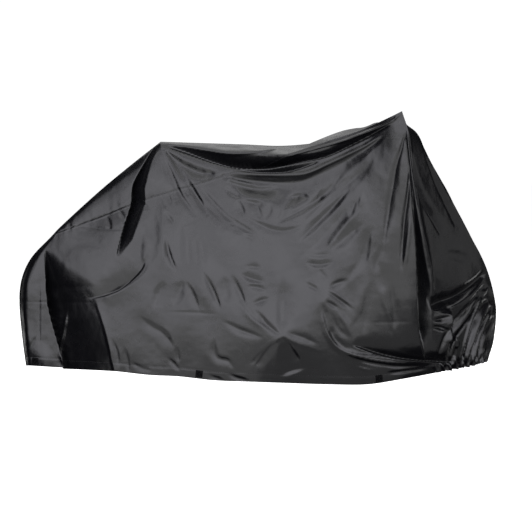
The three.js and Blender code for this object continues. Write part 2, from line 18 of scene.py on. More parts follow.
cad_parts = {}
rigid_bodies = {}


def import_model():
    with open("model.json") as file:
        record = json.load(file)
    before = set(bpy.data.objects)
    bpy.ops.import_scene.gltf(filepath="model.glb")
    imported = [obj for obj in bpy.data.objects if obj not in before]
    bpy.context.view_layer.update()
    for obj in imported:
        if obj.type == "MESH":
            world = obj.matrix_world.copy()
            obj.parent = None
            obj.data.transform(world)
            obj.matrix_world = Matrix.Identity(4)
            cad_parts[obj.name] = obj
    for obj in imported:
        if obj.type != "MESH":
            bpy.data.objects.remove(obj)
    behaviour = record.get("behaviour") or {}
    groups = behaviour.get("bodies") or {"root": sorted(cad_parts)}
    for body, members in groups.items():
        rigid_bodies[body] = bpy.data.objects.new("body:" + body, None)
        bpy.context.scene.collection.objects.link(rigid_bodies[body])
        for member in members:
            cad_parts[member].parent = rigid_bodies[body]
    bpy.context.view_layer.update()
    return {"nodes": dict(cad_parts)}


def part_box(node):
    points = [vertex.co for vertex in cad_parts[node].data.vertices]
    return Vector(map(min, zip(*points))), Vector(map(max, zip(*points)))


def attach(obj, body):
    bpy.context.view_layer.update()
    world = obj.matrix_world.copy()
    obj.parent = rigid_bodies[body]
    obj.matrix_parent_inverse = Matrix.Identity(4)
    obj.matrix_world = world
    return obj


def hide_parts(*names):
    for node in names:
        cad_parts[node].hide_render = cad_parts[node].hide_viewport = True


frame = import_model()

# %% [markdown]
# The camera comes first, because the folds are drawn as it sees them. It looks at the near side from
# a little above, from far away, so the cover shows almost as in a side elevation. Lengths in the
# tables below are millimetres: along the cover, up from the floor and across it. MM turns them into
# the frame's metres, and ORIGIN is where the frame's own origin lies above the floor.

# %% Camera
MM = 0.001
ORIGIN = np.array([-345.0, 0.0, 978.0])
VIEW_TARGET = np.array([30.0, 0.0, 514.0])
VIEW_DISTANCE = 8000.0
VIEW_PITCH = math.radians(4)
VIEW_LENS = 144.4
SENSOR_WIDTH = 36
VIEW_UP = np.array([0.0, math.sin(VIEW_PITCH), math.cos(VIEW_PITCH)])
VIEW_AHEAD = np.array([0.0, math.cos(VIEW_PITCH), -math.sin(VIEW_PITCH)])
EYE = VIEW_TARGET - VIEW_AHEAD * VIEW_DISTANCE


def in_frame(points):
    """Millimetres above the floor, as metres in the frame."""
    return (np.asarray(points, float) - ORIGIN) * MM


camera_data = bpy.data.cameras.new("camera")
camera_data.lens = VIEW_LENS
camera_data.sensor_width = SENSOR_WIDTH
camera = bpy.data.objects.new("camera", camera_data)
camera.location = in_frame(EYE)
camera.rotation_euler = (math.pi / 2 - VIEW_PITCH, 0, 0)
bpy.context.scene.collection.objects.link(camera)
bpy.context.scene.camera = camera
print("camera at", [round(value, 3) for value in camera.location])

# %% [markdown]
# The taut form: the cover as it would hang with no slack. A few sections run from the rear edge to
# the front edge, each with a point at six levels from hem to seam, and a smooth curve goes through
# them both ways. Each point is along, up, near side, far side. A sculpted block would also do, but
# a table of sections keeps every size in sight, and the three panels stay true to their cut.

# %% Sections of the taut form
LEVELS = ("hem", "low", "middle", "high", "upper", "seam")
Section = namedtuple("Section", ("name", "columns", "turn", "shoulder", "crown") + LEVELS)
SECTIONS = [
    Section("rear edge", 11, (0, 0), (0, 0), (-775, 625), (-870, 140, 0, 0), (-885, 255, 0, 0),
            (-895, 385, 0, 0), (-885, 470, 0, 0), (-850, 545, 0, 0), (-775, 625, 0, 0)),
    Section("rear strip", 73, (0, 0), (14, -4), (-744, 658), (-850, 140, -36, 36), (-862, 255, -36, 36),
            (-868, 385, -36, 36), (-855, 475, -32, 32), (-818, 550, -26, 26), (-750, 640, -20, 20)),
    Section("split ridge", 36, (0, 0), (35, -8), (-600, 790), (-545, 120, -112, 112), (-580, 255, -112, 110),
            (-615, 400, -104, 105), (-640, 520, -88, 90), (-620, 620, -65, 65), (-590, 700, -45, 45)),
    Section("behind the rear peak", 34, (0, 0), (50, -5), (-480, 890), (-405, 105, -128, 128),
            (-430, 275, -132, 130), (-455, 440, -122, 122), (-470, 590, -105, 105), (-480, 680, -88, 88),
            (-470, 750, -68, 68)),
    Section("rear peak", 34, (0, 0), (62, 5), (-365, 980), (-300, 100, -140, 140), (-320, 275, -147, 145),
            (-335, 440, -140, 138), (-350, 590, -122, 120), (-355, 700, -100, 100), (-355, 790, -78, 78)),
    Section("before the rear peak", 31, (0, 0), (55, 0), (-205, 975), (-160, 85, -158, 158),
            (-175, 255, -168, 165), (-190, 430, -160, 155), (-195, 600, -140, 138), (-200, 730, -112, 110),
            (-200, 835, -88, 88)),
    Section("rear of the sag", 31, (0, 0), (60, 0), (-50, 970), (-30, 80, -168, 168), (-40, 255, -188, 185),
            (-40, 435, -176, 172), (-45, 630, -155, 150), (-45, 780, -128, 122), (-40, 885, -104, 98)),
    Section("middle of the sag", 34, (0, 0), (70, -3), (95, 965), (110, 75, -165, 165), (100, 250, -208, 195),
            (100, 435, -190, 182), (100, 650, -172, 160), (100, 830, -148, 132), (100, 930, -122, 110)),
    Section("front of the sag", 31, (-5, 10), (75, -6), (250, 980), (270, 70, -170, 170),
            (260, 245, -205, 195), (260, 425, -208, 190), (255, 670, -192, 172), (250, 880, -172, 155),
            (255, 980, -158, 150)),
    Section("rise to the front peak", 28, (-60, -8), (100, 0), (350, 1000), (410, 70, -165, 175),
            (410, 230, -198, 190), (415, 415, -216, 190), (410, 680, -226, 195), (400, 920, -222, 208),
            (390, 1025, -215, 215)),
    Section("behind the front peak", 31, (-105, -45), (140, 0), (430, 1025), (540, 90, -140, 180),
            (545, 230, -178, 190), (550, 415, -214, 200), (535, 705, -258, 230), (520, 950, -282, 262),
            (500, 1075, -285, 262)),
    Section("front peak", 42, (-100, -63), (150, 10), (470, 1050), (675, 115, -78, 165),
            (660, 235, -120, 185), (650, 415, -165, 200), (605, 695, -250, 235), (568, 1000, -296, 280),
            (540, 1095, -300, 290)),
    Section("front shoulder", 34, (-100, -45), None, None, (780, 135, -5, 125), (795, 235, -25, 170),
            (795, 405, -35, 195), (735, 715, -60, 150), (598, 1006, -200, 190), None),
    Section("front edge", 0, (0, 0), None, None, (860, 155, 60, 60), (885, 245, 92, 92),
            (890, 380, 115, 115), (825, 575, 25, 25), (560, 985, 0, 0), None),
]
REAR_PEAK = 4
FRONT_PEAK = 11
LAST = len(SECTIONS) - 1
print(len(SECTIONS), "sections of", len(LEVELS), "levels")

# %% [markdown]
# Two helpers turn the table into a surface. One draws a smooth curve through a row of points. A spline
# object would do the same, but a formula works both ways across a grid. The other finds where a point
# lies from where the camera sees it, so that the table can be read straight off a side view.


# %% Curves and places
def size(vectors):
    """Lengths of the vectors along the last axis, kept as a last axis of one."""
    return np.linalg.norm(vectors, axis=-1, keepdims=True)


def through(points, index, corner=None):
    """A smooth curve through points at fractional indices. Each tangent runs from the point before
    to the point after, so that a long stretch stays nearly straight. At a corner it has two."""
    points, index = np.asarray(points, float), np.asarray(index, float)
    last = len(points) - 1
    order = np.arange(last + 1)
    before, after = points[np.maximum(order - 1, 0)], points[np.minimum(order + 1, last)]
    leave = (after - before) / np.maximum(size(points - before) + size(after - points), 1e-6)
    arrive = leave.copy()
    if corner is not None:
        arrive[corner] = (points - before)[corner] / size(points - before)[corner]
        leave[corner] = (after - points)[corner] / size(after - points)[corner]
    start = np.clip(np.floor(index).astype(int), 0, last - 1)
    t = (index - start).reshape((-1,) + (1,) * (points.ndim - 1))
    reach = size(points[start + 1] - points[start])
    return (points[start] * (2 * t**3 - 3 * t**2 + 1) + points[start + 1] * (3 * t**2 - 2 * t**3)
            + (leave[start] * (t**3 - 2 * t**2 + t) + arrive[start + 1] * (t**3 - t**2)) * reach)


def place(along, up, across):
    """Where a point lies that the camera sees at along, up, at a given depth across."""
    read = VIEW_TARGET * (0, 0, 1) + (along, 0, 0) + VIEW_UP * (up - VIEW_TARGET[2])
    return EYE + (read - EYE) * (across - EYE[1]) / (read[1] - EYE[1])


def seen(points):
    """Where the camera sees points, as along and up."""
    sight = points - EYE
    scale = VIEW_DISTANCE / (sight @ VIEW_AHEAD)
    return VIEW_TARGET[0] + sight[..., 0] * scale, VIEW_TARGET[2] + (sight @ VIEW_UP) * scale


print("the camera aims at", [round(float(value)) for value in seen(VIEW_TARGET)])

# %% [markdown]
# The taut panels are grids of points. A side panel runs through every level of every section. The
# front is turned to the far side, so a section may have a turn, which fades from the seam down to the
# hem. The top bends over from each seam to the crown, and its shoulder says how full that bend is.

# %% Taut panels
TURN_SHARE = dict(hem=0, low=0, middle=0.15, high=0.5, upper=0.9, seam=1)
ROWS_PER_LEVEL = (36, 39, 45, 39, 36)
TOP_STEPS = 32


def section_point(section, level, far):
    """One level of a section, on the near or the far side."""
    along, up, near, across = getattr(section, level)
    point = place(along, up, near)
    if not far or near == across:
        return point
    turn = np.array(section.turn) * TURN_SHARE[level]
    return np.array([point[0] + turn[0], across, point[2] + turn[1]])


def over_top(seam, crown, shoulder, far, share):
    """The top between a seam and the crown, rounded by its shoulder."""
    bend = np.stack([(seam[..., 0] + crown[..., 0]) / 2,
                     crown[..., 1] + shoulder[..., 0] * (1 if far else -1),
                     crown[..., 2] + shoulder[..., 1]], axis=-1)
    share = np.asarray(share)[..., None]
    return seam * (1 - share)**2 + bend * 2 * share * (1 - share) + crown * share**2


def top_lines(far):
    """Seam, crown and shoulder points of the sections up to the front peak."""
    behind = SECTIONS[:FRONT_PEAK + 1]
    seam = np.array([section_point(section, "seam", far) for section in behind])
    crown = np.array([place(*section.crown, 0) for section in behind])
    return seam, crown, np.array([section.shoulder for section in behind], float)


def side_form(columns, rows, far):
    """The taut side panel: an array of points, rows from hem to seam by columns from rear to front."""
    is_front = columns > FRONT_PEAK
    lines = []
    for level in LEVELS[:-1]:
        points = [section_point(section, level, far) for section in SECTIONS]
        line = through(points[:FRONT_PEAK + 1], np.minimum(columns, FRONT_PEAK))
        line[is_front] = through(points[FRONT_PEAK:], columns[is_front] - FRONT_PEAK)
        lines.append(line)
    seam, crown, shoulder = top_lines(far)
    line = through(seam, np.minimum(columns, FRONT_PEAK))
    share = (columns[is_front] - FRONT_PEAK) / (LAST - FRONT_PEAK)
    line[is_front] = over_top(seam[-1], crown[-1], shoulder[-1], far, share)
    return through(lines + [line], rows)


def top_form(columns, shares, far):
    """One half of the taut top panel: rows from seam to crown by columns from rear to front."""
    seam, crown, shoulder = top_lines(far)
    seam, shoulder = through(seam, columns), through(shoulder, columns)
    crown = through(crown, columns, REAR_PEAK)
    return np.array([over_top(seam, crown, shoulder, far, np.full(len(columns), share)) for share in shares])


def even_places(counts):
    """Places between sections or levels, with so many steps in each."""
    steps = [step + np.arange(count) / count for step, count in enumerate(counts) if count]
    return np.append(np.concatenate(steps), len([count for count in counts if count]))


columns = even_places([section.columns for section in SECTIONS])
rows = even_places(ROWS_PER_LEVEL)
top_columns = columns[columns <= FRONT_PEAK]
shares = np.linspace(0, 1, TOP_STEPS + 1)
taut = {
    "near": side_form(columns, rows, False),
    "far": side_form(columns, rows, True),
    "top near": top_form(top_columns, shares, False),
    "top far": top_form(top_columns, shares, True),
}
print({name: points.shape for name, points in taut.items()})

# %% [markdown]
# The folds. A cloth simulation would drape slack of its own, but not these folds in these places, so
# each one is listed: a path in the side view, how far the fold spreads to its left and right
# as one walks along the path, and how deep it goes. A ramp has a straight flank, a soft flank is
# round, a crest has a sharp top and a hollow has a sharp edge. A steep flank on one side and a gentle
# one on the other is what makes a fold read as cloth: the steep side turns away and goes black. Where
# a fold leans, its edge is pushed sideways too, so that the cloth above hangs over it a little.

# %% The shape of a fold
Fold = namedtuple("Fold", "name flanks path left right depth fade lean", defaults=[0])
PATH_STEPS = 32
FINE_STEPS = 8 * PATH_STEPS
FLANKS = {
    "ramp": lambda q: 1 - q,
    "soft": lambda q: (1 - q * q)**2,
    "crest": lambda q: (1 - q)**2,
    "hollow": lambda q: 1 - q * q,
}


def spread(values, share):
    """A value at a share of the way along a row of evenly spaced values."""
    return np.interp(share, np.linspace(0, 1, len(values)), values)


def ease(value, low, high):
    """0 below low, 1 above high and smooth between."""
    t = np.clip((value - low) / (high - low), 0, 1)
    return t * t * (3 - 2 * t)


def smooth_path(path):
    """A fold's path as an even smooth line."""
    fine = through(path, np.linspace(0, len(path) - 1, FINE_STEPS))
    run = np.append(0, np.cumsum(np.linalg.norm(np.diff(fine, axis=0), axis=1)))
    even = np.linspace(0, run[-1], PATH_STEPS + 1)
    return np.stack([np.interp(even, run, fine[:, 0]), np.interp(even, run, fine[:, 1])], axis=1)


def fold_shift(fold, along, up):
    """How a fold moves the cloth at places in the side view: out, along and up. In is negative."""
    shift = np.zeros(along.shape + (3,))
    line = smooth_path(fold.path)
    widest = max(fold.left + fold.right)
    inside = ((along > line[:, 0].min() - widest) & (along < line[:, 0].max() + widest)
              & (up > line[:, 1].min() - widest) & (up < line[:, 1].max() + widest))
    if not inside.any():
        return shift
    at = np.stack([along[inside], up[inside]], axis=1)[:, None]
    start, step = line[None, :-1], np.diff(line, axis=0)[None]
    t = np.clip(((at - start) * step).sum(2) / (step * step).sum(2), 0, 1)
    away = at - (start + step * t[..., None])
    distance = np.linalg.norm(away, axis=2)
    nearest = distance.argmin(1)
    pick = np.arange(len(nearest)), nearest
    share = (nearest + t[pick]) / PATH_STEPS
    heading = step[0, nearest] / size(step[0, nearest])
    on_left = heading[:, 0] * away[pick][:, 1] - heading[:, 1] * away[pick][:, 0] > 0
    width = np.where(on_left, spread(fold.left, share), spread(fold.right, share))
    q = np.minimum(distance[pick] / width, 1)
    left_flank, right_flank = (FLANKS[name] for name in fold.flanks.split())
    ends = 1 if fold.fade == 0 else ease(share, 0, fold.fade) * ease(1 - share, 0, fold.fade)
    out = spread(fold.depth, share) * ends * np.where(on_left, left_flank(q), right_flank(q))
    lean = out * fold.lean
    shift[inside] = np.stack([out, -heading[:, 1] * lean, heading[:, 0] * lean], axis=1)
    return shift


print("flanks:", ", ".join(FLANKS))

# %% [markdown]
# At the rear a flat strip stands beside a deep recess. The recess is a wide ramp with a hard edge, so
# that its inside faces away from the lights. A second fold comes down from the rear peak towards it,
# and an arm leads from its top into the middle of the panel.

# %% Main folds at the rear
REAR_FOLDS = [
    Fold("rear strip", "crest ramp", [(-800, 574), (-787, 379), (-740, 199), (-712, 90)],
         (5, 57, 116, 170, 175, 175, 176, 173, 172), (10, 62, 88, 112, 128), (0, -16, -23, -30, -34), 0),
    Fold("rear recess", "ramp ramp", [(-797, 574), (-783, 379), (-736, 199), (-708, 90)],
         (5, 57, 116, 170, 175, 175, 176, 173, 172), (5, 6, 6, 6, 6),
         (0, 0, 0, -14, -42, -56, -54, -48, -44), 0, 0.3),
    Fold("top of the recess", "crest ramp", [(-797, 574), (-790, 480), (-783, 379), (-762, 290)],
         (14, 96, 196, 220, 215), (4, 6, 6, 6, 4), (0, -34, -62, -50, 0), 0, 0.3),
    Fold("line in the recess", "ramp ramp", [(-704, 345), (-716, 255), (-728, 191), (-718, 140)],
         (3, 4, 4), (6, 20, 26), (2, 8, 9), 0.15),
    Fold("fold under the rear peak", "ramp ramp",
         [(-372, 974), (-392, 950), (-436, 870), (-462, 811), (-466, 749), (-494, 661), (-528, 548)],
         (8, 18, 34, 42, 40, 36, 8), (3, 4, 7, 9, 9, 7, 4), (-8, -22, -42, -54, -48, -38, 0), 0.02, 0.3),
    Fold("split ridge arm", "crest ramp",
         [(-622, 394), (-568, 412), (-517, 437), (-476, 468), (-440, 502), (-422, 540)],
         (24, 74, 104, 116, 116, 100), (5, 8, 9, 9, 8, 7), (-2, -11, -20, -17, -6, 0), 0, 0.5),
    Fold("light below the arm", "crest crest", [(-600, 390), (-517, 420), (-428, 482), (-400, 540)],
         (12, 19, 20, 14), (40, 70, 80, 50), (2, 6, 5, 1), 0.15),
    Fold("edge of the recess", "crest crest", [(-612, 388), (-578, 286), (-548, 160), (-535, 95)],
         (30, 46, 50, 46), (5, 6, 6, 6), (0, 7, 9, 7), 0.05),
    Fold("first line from the rear peak", "soft crest",
         [(-364, 950), (-345, 905), (-330, 870), (-306, 810), (-279, 761), (-231, 697)],
         (6, 10, 13, 14, 13, 8), (8, 16, 26, 30, 26, 10), (-2, -6, -7, -7, -5, -1), 0.03),
    Fold("second line from the rear peak", "soft crest",
         [(-346, 952), (-320, 915), (-295, 876), (-258, 820), (-225, 766), (-188, 697)],
         (6, 11, 14, 16, 14, 8), (8, 18, 28, 34, 28, 10), (-2, -6, -8, -8, -6, -1), 0.03),
]
print(len(REAR_FOLDS), "main folds at the rear")

# %% [markdown]
# Between the peaks the top hangs slack in a stack of swags: a light roll on top, then lips and
# undercuts in turn. An undercut is a ramp above its deepest line, because only cloth that faces down
# there goes black.

# %% Main folds of the sag
SAG_FOLDS = [
    Fold("light roll", "soft soft", [(-345, 970), (-274, 963), (-202, 952), (-101, 939), (0, 944), (95, 962)],
         (8, 18, 22, 22, 20, 8), (6, 9, 11, 11, 10, 6), (3, 9, 13, 14, 12, 3), 0.1),
    Fold("upper undercut", "ramp ramp",
         [(-350, 965), (-255, 940), (-161, 912), (-79, 894), (0, 893), (60, 897), (165, 913), (251, 930),
          (345, 971), (440, 1016), (495, 1046)],
         (5, 17, 28, 36, 40, 30, 20, 21, 18, 14, 7), (6, 11, 13, 14, 14, 12, 10, 10, 9, 7),
         (-3, -24, -48, -66, -74, -64, -38, -31, -24, -16, -4), 0.03, 0.28),
    Fold("trough under the rear lip", "ramp crest",
         [(-352, 948), (-310, 914), (-279, 889), (-210, 860), (-156, 862)],
         (6, 18, 24, 24, 12), (12, 36, 52, 44, 18), (-3, -12, -20, -18, -5), 0.08),
    Fold("undercut below the lip", "ramp ramp",
         [(-80, 874), (-19, 869), (40, 868), (100, 871), (165, 885), (230, 906)],
         (5, 14, 20, 20, 14, 5), (4, 6, 8, 8, 6, 4), (-3, -15, -24, -24, -14, -3), 0.06, 0.3),
    Fold("ridge of the sag", "soft soft",
         [(-110, 866), (-19, 859), (82, 857), (179, 863), (259, 897), (340, 935), (404, 967), (470, 1010)],
         (8, 11, 12, 11, 7), (8, 11, 12, 11, 7), (3, 8, 9, 8, 3), 0.08),
    Fold("lower undercut", "ramp soft",
         [(-118, 854), (-49, 838), (45, 828), (100, 827), (172, 835), (254, 870), (335, 911), (402, 951),
          (476, 1002)],
         (6, 18, 24, 22, 18, 15, 11, 8, 5), (20, 60, 90, 110, 110, 80, 40, 22, 10),
         (-4, -18, -26, -24, -19, -12, -7, -4, -2), 0.06),
    Fold("rear lip of the sag", "crest crest", [(-128, 846), (-68, 830), (0, 816)],
         (6, 8, 6), (8, 12, 8), (2, 5, 2), 0.25),
    Fold("trough under that lip", "ramp soft", [(-130, 838), (-68, 812), (8, 800), (90, 806)],
         (8, 14, 10), (14, 44, 24), (-4, -11, -3), 0.2),
    Fold("seam ridge", "crest crest",
         [(20, 897), (103, 924), (209, 952), (314, 982), (390, 1010), (500, 1056), (536, 1088)],
         (8, 10, 11, 10, 8), (6, 8, 9, 8, 6), (1, 8, 13, 14, 8), 0.06),
]
print(len(SAG_FOLDS), "main folds of the sag")

# %% [markdown]
# The front is the busy end. Taut lines fan down from the front peak, the cloth turns the corner along
# a ridge, and below it an elastic in the hem gathers the front into a pouch of pleats.

# %% Main folds at the front
FRONT_FOLDS = [
    Fold("first fan line", "crest ramp",
         [(551, 1012), (536, 949), (517, 886), (504, 811), (495, 761), (488, 712), (476, 637), (471, 585)],
         (6, 18, 36, 46, 50, 46, 30, 12), (3, 10, 16, 19, 20, 18, 12, 6),
         (-2, -7, -10, -12, -12, -11, -6, -2), 0.06),
    Fold("second fan line", "crest ramp",
         [(570, 900), (562, 787), (549, 686), (542, 605), (538, 543), (541, 482)],
         (4, 12, 22, 26, 24, 12), (3, 8, 13, 14, 12, 6), (-2, -7, -10, -11, -9, -2), 0.08),
    Fold("shade behind the ridge", "ramp ramp",
         [(568, 850), (587, 700), (599, 574), (605, 450), (607, 322), (616, 240), (632, 160)],
         (4, 14, 26, 43, 44, 40, 24), (3, 5, 7, 8, 8, 7, 5), (-3, -18, -38, -52, -52, -46, 0), 0, 0.3),
    Fold("light tip", "soft soft", [(572, 720), (566, 640), (556, 560), (548, 490)],
         (8, 14, 12), (8, 14, 12), (1, 4, 3), 0.25),
    Fold("panel beside the ridge", "ramp ramp",
         [(574, 850), (587, 700), (599, 574), (605, 450), (607, 322), (616, 240), (632, 160)],
         (3, 4, 4, 4, 4, 4, 3), (20, 44, 70, 92, 100, 96, 80), (0, 9, 17, 25, 26, 13, 0), 0),
    Fold("front ridge", "crest crest",
         [(558, 1042), (570, 915), (596, 731), (622, 596), (652, 439), (662, 386)],
         (12, 20, 24, 16), (12, 16, 20, 14), (6, 12, 12, 4), 0.08),
    Fold("front face, rear fold", "crest ramp",
         [(570, 960), (577, 912), (590, 836), (612, 764), (648, 700), (690, 620)],
         (8, 20, 30, 40, 40), (3, 5, 6, 6, 4), (-2, -10, -13, -11, -3), 0.1, 0.3),
    Fold("front face, middle fold", "ramp crest",
         [(600, 1000), (622, 955), (652, 886), (684, 799), (716, 725), (745, 650)],
         (20, 34, 40, 40, 30), (8, 12, 14, 14, 10), (-3, -10, -14, -12, -3), 0.12),
    Fold("front face, low fold", "soft soft", [(690, 566), (752, 548), (812, 540)],
         (20, 34, 20), (20, 30, 20), (-2, -6, -2), 0.3),
    Fold("edge of the pouch", "soft ramp",
         [(856, 504), (842, 477), (814, 446), (773, 414), (736, 390), (689, 371), (646, 358)],
         (10, 18, 24, 24, 16), (12, 22, 32, 48, 40), (-6, -20, -30, -40, -26), 0.05),
]
POUCH_FOLDS = [
    Fold("first pleat", "soft ramp",
         [(668, 158), (690, 230), (701, 258), (729, 292), (767, 330), (801, 367), (839, 424), (858, 446)],
         (8, 14, 20, 20, 16, 10), (4, 5, 6, 6, 5), (-4, -9, -13, -13, -10, -4), 0.06),
    Fold("tongue", "soft soft", [(702, 228), (726, 262), (760, 300), (795, 345), (830, 400)],
         (10, 13, 12, 9), (10, 13, 12, 9), (8, 12, 11, 5), 0.08),
    Fold("second pleat", "ramp ramp",
         [(708, 146), (729, 236), (764, 286), (788, 318), (807, 349), (829, 386), (851, 420)],
         (7, 9, 10, 10, 8), (8, 10, 11, 10, 8), (-9, -18, -23, -19, -7), 0.08),
    Fold("ridge after the second pleat", "crest crest",
         [(748, 140), (766, 200), (783, 258), (801, 315), (826, 367), (845, 408), (866, 438)],
         (6, 7, 8, 8), (6, 7, 8, 8), (6, 11, 13, 8), 0.08),
    Fold("third pleat", "ramp ramp",
         [(760, 138), (776, 190), (796, 250), (815, 299), (839, 355), (860, 392)],
         (6, 8, 10, 8), (6, 8, 10, 8), (-10, -19, -23, -9), 0.08),
    Fold("ridge after the third pleat", "crest crest",
         [(774, 138), (790, 190), (810, 243), (826, 292), (844, 330), (868, 386)],
         (6, 6, 7, 7), (6, 6, 7, 7), (5, 10, 12, 6), 0.08),
    Fold("fourth pleat", "ramp ramp",
         [(790, 138), (804, 188), (822, 240), (840, 285), (858, 325), (877, 370)],
         (5, 7, 8, 6), (5, 7, 8, 6), (-9, -16, -18, -7), 0.1),
    Fold("ridge after the fourth pleat", "crest crest",
         [(804, 138), (816, 190), (832, 250), (857, 305), (874, 342)],
         (5, 6, 7, 6), (5, 6, 7, 6), (4, 8, 10, 5), 0.1),
    Fold("fifth pleat", "ramp ramp", [(820, 138), (832, 192), (846, 248), (867, 295), (884, 330)],
         (5, 7, 8, 6), (5, 7, 8, 6), (-8, -13, -15, -5), 0.12),
    Fold("pleat below the cheek", "ramp ramp", [(722, 142), (736, 180), (742, 214)],
         (6, 8, 6), (6, 8, 6), (-5, -12, -5), 0.15),
    Fold("cheek of the pouch", "ramp ramp", [(692, 165), (704, 212), (714, 260), (719, 310), (721, 352)],
         (40, 50, 60, 66, 56), (7, 8, 8, 8, 7), (8, 18, 24, 26, 12), 0.1),
    Fold("loop", "soft soft", [(738, 248), (748, 226), (744, 204)], (6, 8, 6), (6, 8, 6), (5, 9, 5), 0.2),
    Fold("upper dent of the pouch", "ramp ramp", [(656, 310), (685, 315), (714, 328)],
         (8, 13, 8), (7, 9, 7), (-6, -13, -6), 0.15),
    Fold("lower dent of the pouch", "ramp ramp", [(654, 286), (680, 284), (708, 275)],
         (7, 9, 7), (8, 12, 8), (-6, -13, -6), 0.15),
    Fold("small dent of the pouch", "ramp ramp", [(700, 355), (712, 358), (724, 364)],
         (6, 8, 6), (6, 8, 6), (-4, -8, -4), 0.2),
]
print(len(FRONT_FOLDS) + len(POUCH_FOLDS), "main folds at the front")

# %% [markdown]
# Low at the front the cloth bags over the hem in lips and undercuts, and two pokes push it out from
# inside. A poke is a short crest that spreads widely, so it makes a low cone with hollows beside it.

# %% Main folds low at the front
LOW_FOLDS = [
    Fold("bag ridge", "crest crest",
         [(240, 356), (244, 311), (259, 262), (292, 218), (338, 188), (431, 162), (532, 149), (682, 144)],
         (16, 24, 22, 16), (14, 22, 20, 12), (4, 12, 14, 6), 0.1),
    Fold("shade inside the bag", "soft ramp", [(268, 290), (280, 246), (306, 208), (350, 182)],
         (22, 28, 18), (8, 10, 8), (-3, -7, -4), 0.2),
    Fold("low undercut", "crest ramp",
         [(352, 222), (405, 206), (450, 193), (532, 176), (600, 168), (655, 160), (740, 150)],
         (34, 72, 80, 64, 52, 42, 24), (6, 9, 10, 10, 9, 8, 5), (-5, -19, -29, -32, -28, -18, -4), 0.06, 0.3),
    Fold("lip below the undercut", "crest crest", [(352, 184), (439, 174), (532, 162), (668, 150)],
         (8, 11, 8), (8, 12, 8), (4, 9, 4), 0.15),
    Fold("second low undercut", "ramp soft", [(352, 170), (439, 150), (532, 142), (690, 150)],
         (8, 12, 8), (8, 16, 10), (-4, -9, -5), 0.15),
    Fold("third low undercut", "ramp soft", [(420, 118), (476, 112), (532, 118), (645, 133)],
         (7, 10, 7), (7, 12, 8), (-3, -6, -4), 0.2),
    Fold("low triangle", "crest crest", [(366, 138), (405, 125), (446, 121)],
         (8, 12, 8), (8, 12, 8), (2, 5, 2), 0.2),
    Fold("low poke", "crest crest", [(78, 252), (94, 252)], (150, 150), (150, 150), (9, 9), 0),
    Fold("front poke", "crest crest", [(248, 380), (260, 398)], (110, 110), (110, 110), (9, 9), 0),
    Fold("hollow below the low poke", "soft soft", [(96, 228), (112, 165), (130, 105)],
         (20, 60, 80), (16, 46, 60), (-4, -11, -8), 0.15),
    Fold("hollow beside the low poke", "soft soft", [(70, 236), (20, 190), (-25, 140)],
         (14, 40, 40), (8, 16, 16), (-2, -6, -3), 0.2),
]
print(len(LOW_FOLDS), "main folds low at the front")

# %% [markdown]
# Creases are the small change of cloth: soft troughs, and some ridges, a few millimetres deep. Most
# are in families that point at a peak or at a poke. Each row is a path, how far the crease reaches to
# its left and right, and its height, which is negative in a trough. Every crease is steeper on one
# side, widest in its middle, and runs on a little past its ends, where it dies away.

